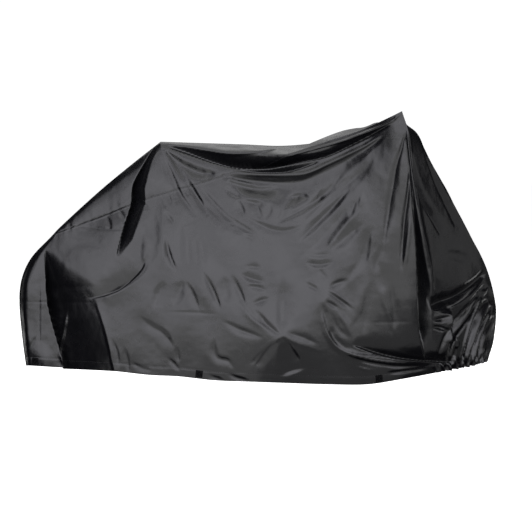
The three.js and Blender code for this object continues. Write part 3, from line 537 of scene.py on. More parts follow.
# %% Creases of the near side
Crease = namedtuple("Crease", "path left right depth")
CREASE_STRETCH = 0.2
STEEP_SIDE = 1.6
GENTLE_SIDE = 2.4
CREASE_DEPTH = 0.86
CREASE_WIDTHS = (0.4, 0.9, 1, 0.9, 0.4)
CREASE_DEPTHS = (0.1, 0.8, 1, 0.8, 0.1)
NEAR_CREASES = {
    "fan of the rear peak": [
        Crease([(-225, 825), (-193, 777), (-150, 729), (-113, 694), (-38, 654)], 10, 13, -6),
        Crease([(-255, 806), (-218, 761), (-161, 709), (-120, 664)], 10, 12, -4),
        Crease([(-360, 919), (-349, 885), (-341, 848)], 8, 8, -4),
    ],
    "puckers under the seam": [
        Crease([(-360, 776), (-347, 735)], 7, 7, -4),
        Crease([(-338, 782), (-326, 746)], 7, 7, -4),
        Crease([(-315, 790), (-304, 750)], 7, 7, -4),
        Crease([(-278, 806), (-264, 776)], 7, 7, -4),
        Crease([(-135, 858), (-114, 840)], 8, 8, -5),
        Crease([(-455, 752), (-428, 742), (-412, 730)], 9, 9, -5),
        Crease([(-520, 722), (-500, 690), (-494, 664)], 12, 10, -5),
        Crease([(-575, 702), (-560, 676), (-556, 650)], 10, 10, -3),
    ],
    "dents below the sag": [
        Crease([(-118, 805), (-94, 791), (-66, 773)], 14, 14, -8),
        Crease([(-45, 756), (-15, 748), (22, 745)], 14, 14, -8),
        Crease([(-75, 758), (-62, 728), (-56, 706)], 10, 12, -5),
        Crease([(-8, 742), (4, 712), (15, 690)], 10, 14, -5),
        Crease([(-98, 671), (-60, 656), (-15, 638)], 9, 9, -5),
        Crease([(-90, 654), (-56, 639)], 8, 8, -4),
        Crease([(-52, 649), (-30, 622), (-15, 608)], 8, 8, -3),
        Crease([(45, 752), (41, 724), (30, 694)], 12, 12, -5),
        Crease([(152, 772), (139, 750), (128, 735)], 8, 8, -5),
        Crease([(-34, 690), (15, 664), (52, 649), (101, 643), (158, 660)], 12, 14, -6),
        Crease([(-75, 655), (-48, 640), (-30, 630)], 7, 7, 3),
        Crease([(120, 770), (160, 776), (190, 770)], 14, 14, -4),
    ],
    "soft lines to the front peak": [
        Crease([(380, 862), (334, 823), (249, 754), (179, 684)], 14, 20, -7),
        Crease([(330, 792), (280, 738), (227, 684), (168, 622)], 14, 20, -12),
        Crease([(420, 905), (372, 842), (318, 772)], 16, 20, -3),
        Crease([(300, 840), (230, 770), (165, 715)], 12, 16, -6),
        Crease([(326, 722), (281, 667), (230, 610), (184, 568)], 28, 34, -8),
        Crease([(382, 667), (340, 635), (291, 587)], 20, 24, -9),
        Crease([(371, 710), (323, 656), (270, 592)], 16, 16, 7),
        Crease([(364, 756), (352, 726), (347, 704)], 9, 12, -4),
        Crease([(390, 780), (385, 737)], 8, 8, 4),
        Crease([(190, 558), (228, 555), (265, 558)], 12, 10, -4),
        Crease([(190, 525), (228, 520), (270, 526)], 12, 10, -8),
        Crease([(120, 765), (160, 772), (190, 768)], 12, 14, -5),
        Crease([(240, 799), (232, 776), (225, 758)], 8, 8, -5),
        Crease([(470, 590), (452, 540), (440, 500)], 16, 14, -6),
        Crease([(146, 778), (112, 752), (86, 712)], 12, 14, -7),
        Crease([(326, 836), (251, 780), (158, 724), (82, 680)], 12, 16, -8),
        Crease([(75, 685), (98, 708), (118, 724)], 10, 12, -4),
        Crease([(408, 640), (396, 570), (362, 490)], 20, 26, -6),
        Crease([(436, 640), (428, 560), (424, 470)], 16, 16, 4),
        Crease([(228, 503), (240, 482), (257, 465)], 10, 10, -4),
        Crease([(362, 513), (350, 488), (343, 465)], 10, 12, -4),
    ],
    "middle": [
        Crease([(-345, 614), (-338, 574), (-326, 536), (-309, 503)], 8, 10, -9),
        Crease([(-360, 760), (-358, 640), (-362, 545)], 20, 24, 6),
        Crease([(-426, 540), (-414, 590), (-416, 640)], 18, 22, 6),
        Crease([(-347, 714), (-335, 695), (-319, 676)], 8, 9, -5),
        Crease([(-41, 513), (-15, 512), (7, 508)], 9, 9, -4),
        Crease([(-30, 438), (0, 432), (22, 426)], 10, 10, -6),
        Crease([(-398, 705), (-398, 611), (-405, 529)], 22, 26, -5),
        Crease([(-292, 650), (-296, 590), (-292, 535)], 18, 18, -5),
        Crease([(-262, 610), (-258, 560), (-254, 525)], 8, 8, -2.5),
        Crease([(-236, 612), (-232, 565), (-226, 520)], 8, 8, -2.5),
        Crease([(-208, 600), (-203, 560), (-198, 520)], 8, 8, -2),
        Crease([(-266, 448), (-248, 412), (-225, 356)], 10, 12, -6),
        Crease([(-199, 478), (-172, 424), (-146, 362)], 10, 12, -9),
        Crease([(-94, 470), (-75, 425), (-52, 372)], 11, 14, -8),
        Crease([(-56, 482), (-26, 469), (13, 457)], 12, 12, -8),
        Crease([(0, 336), (34, 292), (77, 257)], 11, 12, -10),
        Crease([(-118, 301), (-68, 274), (2, 250)], 10, 12, -9),
        Crease([(-13, 374), (11, 382), (36, 391)], 10, 10, -6),
        Crease([(97, 446), (98, 368), (92, 274)], 24, 24, -9),
        Crease([(-165, 228), (-165, 191), (-150, 167), (-112, 156), (-96, 136)], 12, 14, -8),
        Crease([(-304, 206), (-300, 176), (-300, 155)], 6, 8, -6),
        Crease([(-336, 167), (-315, 146), (-298, 126)], 8, 8, -6),
        Crease([(-435, 315), (-398, 285), (-360, 262), (-322, 218)], 14, 18, -7),
        Crease([(-285, 452), (-300, 410), (-311, 372)], 20, 20, -7),
        Crease([(-356, 446), (-372, 405), (-386, 368)], 22, 18, -7),
        Crease([(-128, 466), (-124, 424), (-118, 384)], 18, 18, -6),
        Crease([(-228, 452), (-200, 400), (-178, 350)], 18, 18, 3),
        Crease([(-60, 360), (-20, 310), (40, 272)], 10, 10, 5),
        Crease([(-204, 113), (-172, 98), (-133, 86)], 7, 9, -5),
        Crease([(-111, 110), (-79, 94), (-39, 84)], 7, 9, -5),
        Crease([(-500, 200), (-490, 160), (-486, 125)], 8, 10, -6),
        Crease([(-470, 150), (-440, 132), (-405, 124)], 8, 9, -4),
    ],
    "rays of the pokes": [
        Crease([(96, 248), (150, 225), (228, 198)], 12, 10, 3),
        Crease([(98, 240), (124, 199), (156, 152)], 12, 14, -8),
        Crease([(110, 262), (160, 250), (214, 226)], 12, 10, -5),
        Crease([(80, 246), (26, 202), (-17, 144)], 9, 9, 4),
        Crease([(186, 447), (206, 435), (223, 423)], 7, 7, -5),
        Crease([(186, 459), (206, 448), (222, 438)], 7, 7, 3),
        Crease([(272, 436), (298, 448), (330, 460)], 10, 12, -8),
        Crease([(268, 413), (296, 394), (343, 359)], 8, 8, -7),
        Crease([(270, 424), (300, 402), (348, 368)], 7, 7, 4),
        Crease([(257, 380), (278, 368), (298, 355)], 7, 7, -6),
        Crease([(240, 372), (252, 330), (256, 300)], 10, 10, -4),
    ],
    "low front": [
        Crease([(458, 433), (488, 349), (523, 246)], 14, 14, 4),
        Crease([(390, 426), (368, 349), (350, 302)], 18, 18, 5),
        Crease([(430, 440), (412, 350), (400, 280)], 20, 20, -6),
        Crease([(500, 430), (512, 340), (500, 270)], 16, 16, -5),
        Crease([(300, 340), (330, 300), (345, 262)], 12, 12, 5),
        Crease([(278, 330), (296, 284), (330, 250)], 10, 12, -4),
        Crease([(455, 520), (468, 470), (462, 420)], 20, 20, -5),
    ],
    "rear strip": [
        Crease([(-819, 452), (-820, 330), (-818, 206)], 5, 5, -4),
        Crease([(-834, 246), (-848, 218), (-861, 197)], 6, 6, -3),
        Crease([(-707, 343), (-720, 255), (-733, 191), (-720, 140)], 7, 7, 5),
        Crease([(-745, 165), (-735, 140), (-712, 118)], 8, 9, -6),
        Crease([(-545, 232), (-530, 190), (-524, 146)], 7, 8, -5),
    ],
    "lines where it was folded in its packing": [
        Crease([(-857, 379), (-740, 379), (-609, 379)], 5, 5, -1.6),
        Crease([(-324, 341), (-236, 339), (-159, 334)], 5, 5, -2),
        Crease([(418, 302), (495, 304), (591, 306)], 5, 5, -1.2),
        Crease([(-651, 660), (-574, 652), (-480, 652)], 6, 6, -3),
    ],
}


def stretched(path):
    """A path that runs on at both ends, where the crease dies away."""
    path = np.array(path, float)
    before = path[0] + (path[0] - path[1]) * CREASE_STRETCH
    after = path[-1] + (path[-1] - path[-2]) * CREASE_STRETCH
    return np.concatenate([[before], path, [after]])


def as_folds(creases):
    """The rows of a crease table as folds with pointed ends, steep on the narrower side."""
    made = []
    for name, rows in creases.items():
        for turn, row in enumerate(rows):
            steep_left = row.left < row.right or (row.left == row.right and turn % 2)
            left = row.left * (STEEP_SIDE if steep_left else GENTLE_SIDE)
            right = row.right * (GENTLE_SIDE if steep_left else STEEP_SIDE)
            flanks = "soft crest" if steep_left else "crest soft"
            widths = [tuple(side * share for share in CREASE_WIDTHS) for side in (left, right)]
            depths = tuple(row.depth * CREASE_DEPTH * share for share in CREASE_DEPTHS)
            made.append(Fold(name, flanks, stretched(row.path), *widths, depths, 0))
    return made


NEAR_FOLDS = REAR_FOLDS + SAG_FOLDS + FRONT_FOLDS + POUCH_FOLDS + LOW_FOLDS + as_folds(NEAR_CREASES)
print(len(NEAR_FOLDS), "folds and creases on the near side")

# %% [markdown]
# The far side hangs from the same two peaks, so it has the same kinds of folds in other places.

# %% Folds of the far side
FAR_FOLDS = [
    Fold("far rear recess", "hollow hollow", [(-790, 560), (-760, 385), (-720, 150), (-710, 90)],
         (10, 130, 150), (10, 24, 26), (0, -34, -40), 0),
    Fold("far fold under the rear peak", "ramp soft", [(-390, 930), (-435, 780), (-465, 640), (-500, 520)],
         (14, 30, 36, 34, 24), (20, 50, 60, 56, 40), (-6, -22, -28, -16, 0), 0.02),
    Fold("far sag", "ramp soft", [(-310, 935), (-90, 890), (120, 895), (300, 955)],
         (14, 30, 14), (14, 34, 14), (-8, -28, -8), 0.12),
    Fold("far ridge under the sag", "crest crest", [(-280, 905), (-80, 845), (130, 855), (310, 925)],
         (14, 20, 14), (18, 34, 20), (6, 13, 6), 0.12),
    Fold("far undercut", "ramp soft", [(-260, 872), (-70, 812), (140, 822), (300, 895)],
         (10, 18, 10), (24, 60, 30), (-5, -15, -5), 0.15),
    Fold("far front fan, rear", "soft ramp", [(360, 960), (260, 760), (170, 570)],
         (20, 36, 40), (14, 26, 30), (-8, -17, -6), 0.15),
    Fold("far front fan, middle", "ramp soft", [(410, 940), (390, 760), (360, 560), (350, 430)],
         (14, 26, 30), (20, 34, 40), (-8, -20, -8), 0.15),
    Fold("far front fan, front", "soft ramp", [(470, 900), (490, 700), (510, 480)],
         (20, 34, 40), (14, 26, 30), (-8, -20, -8), 0.15),
    Fold("far low sag", "ramp soft", [(-60, 190), (150, 160), (400, 155), (620, 165)],
         (16, 30, 18), (20, 28, 20), (-8, -19, -10), 0.15),
    Fold("far low lip", "crest crest", [(-40, 168), (160, 138), (400, 133), (600, 146)],
         (10, 14, 10), (10, 14, 10), (4, 9, 4), 0.15),
    Fold("far poke", "crest crest", [(-230, 372), (-180, 340)], (170, 150), (150, 180), (12, 12), 0),
]
FAR_CREASES = {
    "far fan of the rear peak": [
        Crease([(-352, 915), (-330, 840), (-312, 760)], 11, 13, -6),
        Crease([(-322, 905), (-270, 810), (-214, 722)], 12, 15, -7),
        Crease([(-300, 890), (-220, 790), (-130, 706)], 13, 16, -6),
        Crease([(-240, 800), (-180, 716), (-140, 650)], 10, 12, 4),
    ],
    "far middle": [
        Crease([(-60, 760), (0, 720), (70, 704), (140, 716)], 14, 16, -6),
        Crease([(-120, 640), (-70, 600), (0, 580)], 10, 12, -6),
        Crease([(-330, 585), (-306, 520), (-264, 452)], 12, 15, -6),
        Crease([(-262, 610), (-252, 560), (-236, 520)], 9, 11, -4),
        Crease([(-40, 452), (-96, 414), (-140, 392)], 11, 14, -6),
        Crease([(30, 410), (-10, 402), (-46, 384)], 8, 9, -4),
        Crease([(-176, 300), (-150, 232), (-158, 176)], 14, 12, -6),
        Crease([(-120, 210), (-108, 172), (-84, 146)], 8, 10, -5),
        Crease([(-390, 266), (-340, 292), (-292, 300)], 11, 13, -5),
        Crease([(-450, 470), (-392, 448), (-340, 412)], 10, 14, -5),
        Crease([(-420, 340), (-380, 352), (-330, 350)], 7, 8, -3),
        Crease([(60, 460), (90, 380), (80, 290)], 20, 18, -6),
        Crease([(200, 420), (220, 340), (210, 270)], 16, 16, -5),
        Crease([(-460, 230), (-430, 180), (-420, 130)], 9, 11, -6),
        Crease([(-220, 128), (-170, 106), (-120, 98)], 8, 10, -5),
    ],
    "far front": [
        Crease([(330, 880), (240, 820), (150, 740)], 14, 13, -6),
        Crease([(430, 640), (420, 520), (430, 400)], 18, 16, -6),
        Crease([(560, 560), (590, 460), (600, 360)], 18, 16, -8),
        Crease([(640, 620), (690, 500), (720, 400)], 16, 18, -8),
        Crease([(680, 210), (720, 290), (770, 370)], 11, 13, -10),
        Crease([(740, 190), (780, 270), (820, 350)], 10, 12, -10),
        Crease([(800, 190), (830, 260), (860, 330)], 9, 10, -8),
        Crease([(620, 250), (650, 310), (700, 350)], 12, 12, -8),
    ],
    "far lines where it was folded in its packing": [
        Crease([(-560, 379), (-400, 379), (-300, 376)], 5, 5, -2),
        Crease([(100, 379), (280, 377), (430, 379)], 5, 5, -2),
    ],
}
FAR_FOLDS += as_folds(FAR_CREASES)
print(len(FAR_FOLDS), "folds and creases on the far side")

# %% [markdown]
# Sewing shapes the edges. The hem is a turned band with a stitched groove along its top. Along each
# seam the cloth is drawn into a groove beside its turning, and it puckers where the sewing has
# gathered it. At the front an elastic crumples the hem. Each is a height at a distance from the edge.

# %% Hem, seams and gathers
HEM_BAND = 32
HEM_EDGE = (HEM_BAND - 4, HEM_BAND + 2)
HEM_STEP = 0.7
STITCH_GROOVE = dict(depth=0.6, half_width=3)
SEAM_GROOVE = dict(depth=1.5, half_width=3)
SEAM_TURNING = dict(height=1.0, edge=(9, 13))
PUCKER = dict(height=0.6, length=17, start=5, reach=22)
PUCKER_WAVES = [(1, 2.9, 0), (0.7, 4.3, 1.1)]
PUCKERED = [(-700, 2), (-640, 0.6), (-560, 0.9), (-470, 1), (-400, 0.7), (-330, 0.7), (-120, 1),
            (-40, 0.4), (60, 0.2)]
SECTION_RUN = 105
GATHER = dict(starts=(10.75, 11.25), height=4.5, length=15, ends=(8, 72))
GATHER_WAVES = [(1, 4.1, 15), (0.8, 2.7, -11), (0.6, 7.7, 8)]


def bump_at(distance, half_width):
    """A round bump across a line."""
    return np.exp(-(distance / half_width)**2)


def hem_profile(rise):
    """The turned band of the hem and the groove of its stitching."""
    band = HEM_STEP * (1 - ease(rise, *HEM_EDGE))
    return band - STITCH_GROOVE["depth"] * bump_at(rise - HEM_BAND, STITCH_GROOVE["half_width"])


def seam_profile(distance, along, turned):
    """The groove of a seam, the turning sewn down on one side of it, and its puckers."""
    groove = -SEAM_GROOVE["depth"] * bump_at(distance, SEAM_GROOVE["half_width"])
    turning = turned * SEAM_TURNING["height"] * (1 - ease(distance, *SEAM_TURNING["edge"]))
    places, amounts = zip(*PUCKERED)
    uneven = sum(height * np.sin(along / PUCKER["length"] * often + phase)
                 for height, often, phase in PUCKER_WAVES)
    pucker = PUCKER["height"] * np.interp(along, places, amounts) * uneven
    fading = np.exp(-distance / PUCKER["reach"]) * ease(distance, 0, PUCKER["start"])
    return groove + turning + pucker * fading


def gathers(columns, rise):
    """The close crumple of the elastic at the front of the hem."""
    run = columns * SECTION_RUN
    crumple = sum(height * np.sin(run / GATHER["length"] * often + rise / slant)
                  for height, often, slant in GATHER_WAVES)
    start = ease(columns, *GATHER["starts"])
    return GATHER["height"] * crumple * start * (1 - ease(rise, *GATHER["ends"]))


print("hem band of", HEM_BAND, "mm and gathers up to", GATHER["ends"][1], "mm above the hem")

# %% [markdown]
# Draping adds all of this to the taut form. The folds run out at the lines that panels share, so that
# the panels stay joined, and the cloth lies flat under the patches. Last comes a slight unevenness all
# over, a sum of a few waves, because no hanging cloth is ever quite smooth.

# %% Drape the taut form
CALM_REACH = dict(rear=26, front=34, crown=22, peaks=30)
PATCH_CALM = (20, 84)
CORNER = (FRONT_PEAK - 0.4, FRONT_PEAK + 0.3)
WAVES = [(1.2, 310, 240, 0.4), (1.0, -230, 420, 1.9), (0.9, 170, -520, 3.1), (0.6, 140, 260, 5.2)]
FAR_WAVE_SHIFT = 40


def grid_normals(points, outward):
    """Unit normals of a grid of points."""
    normal = np.cross(np.gradient(points, axis=1), np.gradient(points, axis=0)) * outward
    return normal / np.maximum(size(normal), 1e-9)


def run_length(points, axis):
    """How far each point of a grid lies along its row or column, from the start."""
    steps = np.linalg.norm(np.diff(points, axis=axis), axis=2)
    return np.concatenate([np.zeros_like(np.take(steps, [0], axis)), np.cumsum(steps, axis)], axis)


def calm_near(points, line, reach):
    """0 on a line, and 1 from a reach away."""
    flat = points.reshape(-1, 3)
    nearest = np.full(len(flat), np.inf)
    for point in line:
        nearest = np.minimum(nearest, ((flat - point)**2).sum(1))
    return ease(np.sqrt(nearest), 0, reach).reshape(points.shape[:2])


def unevenness(along, up):
    """Slight waves all over the cloth."""
    return sum(height * np.sin(2 * math.pi * (along / wide + up / tall) + phase)
               for height, wide, tall, phase in WAVES)


lines = dict(rear=taut["near"][:, 0], front=taut["near"][:, -1], crown=taut["top near"][-1],
             peaks=np.concatenate([taut["top near"][:, -1], taut["top far"][:, -1]]))
patch_middles = {name: np.array(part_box(name)).mean(0) / MM + ORIGIN
                 for name in frame["nodes"] if name.startswith("hem_patch")}
normals = {name: grid_normals(points, -1 if "far" in name else 1) for name, points in taut.items()}
for side in ("near", "far"):
    joined = normals[side][-1, :len(top_columns)] + normals["top " + side][0]
    joined /= np.maximum(size(joined), 1e-9)
    normals[side][-1, :len(top_columns)] = joined
    normals["top " + side][0] = joined

draped = {}
for name, points in taut.items():
    is_far, is_top = "far" in name, "top" in name
    along, up = (points[..., 0], points[..., 2]) if is_far else seen(points)
    folds = FAR_FOLDS if is_far else NEAR_FOLDS
    shift = sum(fold_shift(fold, along, up) for fold in folds)
    shift[..., 0] += unevenness(along, up + FAR_WAVE_SHIFT * is_far)
    rise = run_length(points, 0)
    if is_top:
        shift[..., 0] += seam_profile(rise, along, 0)
    else:
        shift[..., 0] += seam_profile(rise[-1] - rise, along, 1) + gathers(columns[None, :], rise)
    calm = math.prod(calm_near(points, lines[line], reach) for line, reach in CALM_REACH.items())
    if not is_top:
        for middle in patch_middles.values():
            calm = calm * ease(np.linalg.norm(points - middle, axis=2), *PATCH_CALM)
    shift *= calm[..., None]
    if not is_top:
        shift[..., 0] += hem_profile(rise)
    sight = np.array([0, 1, 0]) if is_far else (EYE - points) / size(EYE - points)
    turned = ease(columns[:points.shape[1]], *CORNER)[None, :, None]
    out = sight * (1 - turned) + normals[name] * turned
    out = out / size(out)
    draped[name] = points + out * shift[..., :1] + shift[..., 1:2] * (1, 0, 0) + shift[..., 2:] * (0, 0, 1)
    lowest, highest = shift[..., 0].min(), shift[..., 0].max()
    print(name, "folds from", round(float(lowest), 1), "to", round(float(highest), 1), "mm")

# %% [markdown]
# The panels become meshes: a grid of faces each, with a UV map in metres so that the weave keeps its
# scale. Real cloth is thinner than anything that shows at this size, so each is a single sheet. The top
# panel's two halves meet at the crown and are one piece, as it was cut.

# %% Cloth panels
scene_objects = bpy.context.scene.collection.objects


def link(name, mesh):
    """A new object at the origin."""
    piece = bpy.data.objects.new(name, mesh)
    scene_objects.link(piece)
    return piece


def flatten(piece):
    """Turns a piece and its modifiers into a plain mesh."""
    evaluated = piece.evaluated_get(bpy.context.evaluated_depsgraph_get())
    mesh = bpy.data.meshes.new_from_object(evaluated)
    piece.modifiers.clear()
    piece.data = mesh
    return piece


def grid_faces(shape, outward):
    """The faces of a grid of corners."""
    corner = np.arange(shape[0] * shape[1]).reshape(shape)
    corners = (corner[:-1, :-1], corner[:-1, 1:], corner[1:, 1:], corner[1:, :-1])
    faces = np.stack(corners, axis=-1).reshape(-1, 4)
    return faces if outward > 0 else faces[:, ::-1]


def grid_mesh(name, points, outward):
    """A smooth mesh of a grid of points in metres, with a UV map of its run along rows and columns."""
    faces = grid_faces(points.shape[:2], outward)
    mesh = bpy.data.meshes.new(name)
    mesh.from_pydata(points.reshape(-1, 3).tolist(), [], faces.tolist())
    uv = np.stack([run_length(points, 1), run_length(points, 0)], axis=-1).reshape(-1, 2)
    layer = mesh.uv_layers.new(name="cut")
    layer.data.foreach_set("uv", uv[faces.reshape(-1)].astype(np.float32).reshape(-1))
    mesh.polygons.foreach_set("use_smooth", np.ones(len(faces), bool))
    return mesh


def close_doubles(mesh, distance=1e-6):
    """Merges corners that lie on each other, as at the tip of a panel."""
    work = bmesh.new()
    work.from_mesh(mesh)
    bmesh.ops.remove_doubles(work, verts=work.verts, dist=distance)
    work.to_mesh(mesh)
    work.free()


def cloth_piece(name, points, outward):
    """A panel of cloth, one thin sheet."""
    mesh = grid_mesh(name, points, outward)
    close_doubles(mesh)
    return link(name, mesh)


panels = {
    "near": in_frame(draped["near"]),
    "far": in_frame(draped["far"]),
    "top": in_frame(np.concatenate([draped["top near"], draped["top far"][-2::-1]])),
}
near_cloth = cloth_piece("near_side_cloth", panels["near"], 1)
far_cloth = cloth_piece("far_side_cloth", panels["far"], -1)
top_cloth = cloth_piece("top_cloth", panels["top"], 1)
for piece in (near_cloth, far_cloth, top_cloth):
    triangles = sum(len(face.vertices) - 2 for face in piece.data.polygons)
    area = sum(face.area for face in piece.data.polygons)
    print(piece.name, triangles, "triangles,", round(area, 3), "square metres")

# %% [markdown]
# The cloth is a fine plain weave with a smooth coating, so it is nearly black and shines softly: most
# of the grey that one sees is the light itself, mirrored by the coat. So the base is dark, and the
# roughness does the work. It varies a little from place to place, where the coat is worn or creased.
# Bumps add the relief that is too small for the mesh: faint slackness, fine crinkle and the weave.

# %% Material helpers
Tone = namedtuple("Tone", "scale detail dark light")
Relief = namedtuple("Relief", "scale detail height strength")
Weave = namedtuple("Weave", "pitch height strength")
WAVE_PERIOD = 2 * math.pi / 20
NOISE_RANGE = (0.3, 0.7)


def new_material(name):
    """An empty material with its Principled shader."""
    material = bpy.data.materials.new(name)
    material.use_nodes = True
    return material, material.node_tree, material.node_tree.nodes["Principled BSDF"]


def add_node(tree, kind, links=(), **values):
    """A node with its input values, linked from other nodes' outputs."""
    made = tree.nodes.new(kind)
    for name, value in values.items():
        if name in made.inputs:
            made.inputs[name].default_value = value
        else:
            setattr(made, name, value)
    for socket, source in links:
        tree.links.new(source, made.inputs[socket])
    return made


def noise(tree, vector, scale, detail):
    """A soft noise of a given scale."""
    made = add_node(tree, "ShaderNodeTexNoise", [("Vector", vector)], Scale=scale, Detail=detail)
    return made.outputs["Fac"]


def ranged(tree, value, low, high):
    """A noise moved into a range."""
    made = add_node(tree, "ShaderNodeMapRange", [("Value", value)])
    for socket, number in zip(("From Min", "From Max", "To Min", "To Max"), (*NOISE_RANGE, low, high)):
        made.inputs[socket].default_value = number
    return made.outputs["Result"]


def two_tone(tree, factor, dark, light):
    """Two colours mixed by a factor."""
    made = add_node(tree, "ShaderNodeMix", [("Factor", factor)], data_type="RGBA")
    colours = [socket for socket in made.inputs if socket.type == "RGBA"]
    colours[0].default_value = (*dark, 1)
    colours[1].default_value = (*light, 1)
    return [socket for socket in made.outputs if socket.type == "RGBA"][0]


def paint(tree, shader, vector, tone):
    """A base colour that varies between two tones from place to place."""
    factor = ranged(tree, noise(tree, vector, tone.scale, tone.detail), 0, 1)
    tree.links.new(two_tone(tree, factor, tone.dark, tone.light), shader.inputs["Base Color"])


def bump(tree, height, distance, strength, under=None):
    """A bump of a height in metres, on top of another."""
    made = add_node(tree, "ShaderNodeBump", [("Height", height)], Distance=distance, Strength=strength)
    if under is not None:
        tree.links.new(under, made.inputs["Normal"])
    return made.outputs["Normal"]


def threads(tree, vector, weave, under=None):
    """The bump of a plain weave: threads both ways at its pitch."""
    scale = WAVE_PERIOD / weave.pitch
    ways = [add_node(tree, "ShaderNodeTexWave", [("Vector", vector)], Scale=scale, bands_direction=way)
            for way in ("X", "Y")]
    woven = add_node(tree, "ShaderNodeMath", operation="MULTIPLY")
    for socket, way in zip(woven.inputs, ways):
        tree.links.new(way.outputs["Fac"], socket)
    return bump(tree, woven.outputs["Value"], weave.height, weave.strength, under)


def crumpled(tree, vector, relief, under=None):
    """The bump of a soft noise."""
    return bump(tree, noise(tree, vector, relief.scale, relief.detail), relief.height, relief.strength, under)


print("helpers for tones, reliefs and weaves")

# %% [markdown]
# Three finishes: the coated cloth, the webbing of the patches, which is matt and coarser, and the
# thread, which is a little shinier than the webbing. Scales are waves for each metre, heights metres.

# %% Materials
CLOTH_TONE = Tone(5, 3, (0.0020, 0.0020, 0.0026), (0.0032, 0.0032, 0.0040))
WEBBING_TONE = Tone(160, 2, (0.0010, 0.0010, 0.0012), (0.0022, 0.0022, 0.0025))
THREAD_TONE = Tone(700, 2, (0.006, 0.006, 0.007), (0.016, 0.016, 0.018))
WORN = dict(scale=14, detail=4)
WORN_ROUGHNESS = (0.22, 0.29)
SLACKNESS = Relief(11, 2, 0.012, 0.4)
CRINKLE = Relief(55, 3, 0.0018, 0.22)
CLOTH_WEAVE = Weave(0.0009, 0.0001, 0.15)
WEBBING_WEAVE = Weave(0.0011, 0.0003, 0.5)


def coated_cloth():
    """Satin-faced black cloth."""
    material, tree, shader = new_material("cover_cloth")
    place_on = add_node(tree, "ShaderNodeTexCoord").outputs
    paint(tree, shader, place_on["Object"], CLOTH_TONE)
    worn = ranged(tree, noise(tree, place_on["Object"], **WORN), *WORN_ROUGHNESS)
    tree.links.new(worn, shader.inputs["Roughness"])
    slack = crumpled(tree, place_on["Object"], SLACKNESS)
    crinkle = crumpled(tree, place_on["Object"], CRINKLE, slack)
    weave = threads(tree, place_on["UV"], CLOTH_WEAVE, crinkle)
    tree.links.new(weave, shader.inputs["Normal"])
    shader.inputs["IOR"].default_value = 1.5
    return material


def webbing():
    """Matt black woven webbing."""
    material, tree, shader = new_material("hem_patch")
    place_on = add_node(tree, "ShaderNodeTexCoord").outputs
    paint(tree, shader, place_on["Object"], WEBBING_TONE)
    weave = threads(tree, place_on["UV"], WEBBING_WEAVE)
    tree.links.new(weave, shader.inputs["Normal"])
    shader.inputs["Roughness"].default_value = 0.85
    shader.inputs["Specular IOR Level"].default_value = 0.06
    return material


def sewing_thread():
    """Black polyester thread."""
    material, tree, shader = new_material("sewing_thread")
    place_on = add_node(tree, "ShaderNodeTexCoord").outputs
    paint(tree, shader, place_on["Object"], THREAD_TONE)
    shader.inputs["Roughness"].default_value = 0.5
    return material


CLOTH, WEBBING, THREAD = coated_cloth(), webbing(), sewing_thread()
for piece in (near_cloth, far_cloth, top_cloth):
    piece.data.materials.clear()
    piece.data.materials.append(CLOTH)
print("materials:", CLOTH.name, WEBBING.name, THREAD.name)

# %% [markdown]
# Six squares of webbing are sewn flat on the hem, where a tie could be fastened. Each takes its place
# and its turn from its plain solid, and its points are laid on the cloth under it.

# %% Webbing patches
PATCH_THICKNESS = 1.5 * MM
PATCH_GAP = 0.2 * MM
PATCH_CELLS = 30
RIBS = dict(count=9, height=0.22 * MM)
PATCH_ROUNDING = 2.2 * MM
PATCH_EDGE = 0.55
PATCH_BACKING = 0.5 * PATCH_THICKNESS
SEARCH_REACH = 30 * MM


def search_tree(points):
    """A tree that finds where a ray meets a panel."""
    return BVHTree.FromPolygons(points.reshape(-1, 3).tolist(), grid_faces(points.shape[:2], 1).tolist())


cloth_trees = {side: search_tree(panels[side]) for side in ("near", "far")}


def patch_axes(node):
    """The middle of a patch's solid and its right, up and out directions, with half its width."""
    corners = np.unique(np.round([vertex.co for vertex in frame["nodes"][node].data.vertices], 6), axis=0)
    middle = corners.mean(0)
    out = np.linalg.svd(corners - middle)[2][2]
    out *= np.sign(out[1]) * (1 if "far" in node else -1)
    flat = corners - middle
    flat = flat - np.outer(flat @ out, out)
    top_two = flat[np.argsort(flat[:, 2])[-4:]]
    up = top_two.mean(0)
    half = np.linalg.norm(up)
    up = up / half
    return middle, np.cross(up, out), up, out, half


def on_cloth(side, points, out):
    """Points moved along a direction onto the cloth."""
    landed = []
    for point in points.reshape(-1, 3):
        start = Vector(point + out * SEARCH_REACH)
        hit = cloth_trees[side].ray_cast(start, Vector(-out), 2 * SEARCH_REACH)[0]
        landed.append(point if hit is None else np.array(hit))
    return np.array(landed).reshape(points.shape)


def patch_piece(node):
    """One patch: ribbed on its face, a little thinner at its edges, lying on the cloth."""
    side = "far" if "far" in node else "near"
    middle, right, up, out, half = patch_axes(node)
    across = np.linspace(-half, half, PATCH_CELLS + 1)
    rise, run = np.meshgrid(across, across, indexing="ij")
    flat = middle + run[..., None] * right + rise[..., None] * up
    edge = half - np.maximum(np.abs(run), np.abs(rise))
    ribs = RIBS["height"] * np.cos(rise / half * math.pi * RIBS["count"])
    rounded = np.sqrt(ease(edge, 0, PATCH_ROUNDING))
    face = PATCH_THICKNESS * (PATCH_EDGE + (1 - PATCH_EDGE) * rounded) + ribs
    lift = (PATCH_GAP + face)[..., None] * out
    mesh = grid_mesh(node + "_webbing", on_cloth(side, flat, out) + lift, 1)
    mesh.materials.append(WEBBING)
    piece = link(node + "_webbing", mesh)
    thickness = piece.modifiers.new("thickness", "SOLIDIFY")
    thickness.thickness = PATCH_BACKING
    thickness.offset = -1
    return flatten(piece)


patches = {node: patch_piece(node) for node in sorted(frame["nodes"]) if node.startswith("hem_patch")}
print(len(patches), "patches")

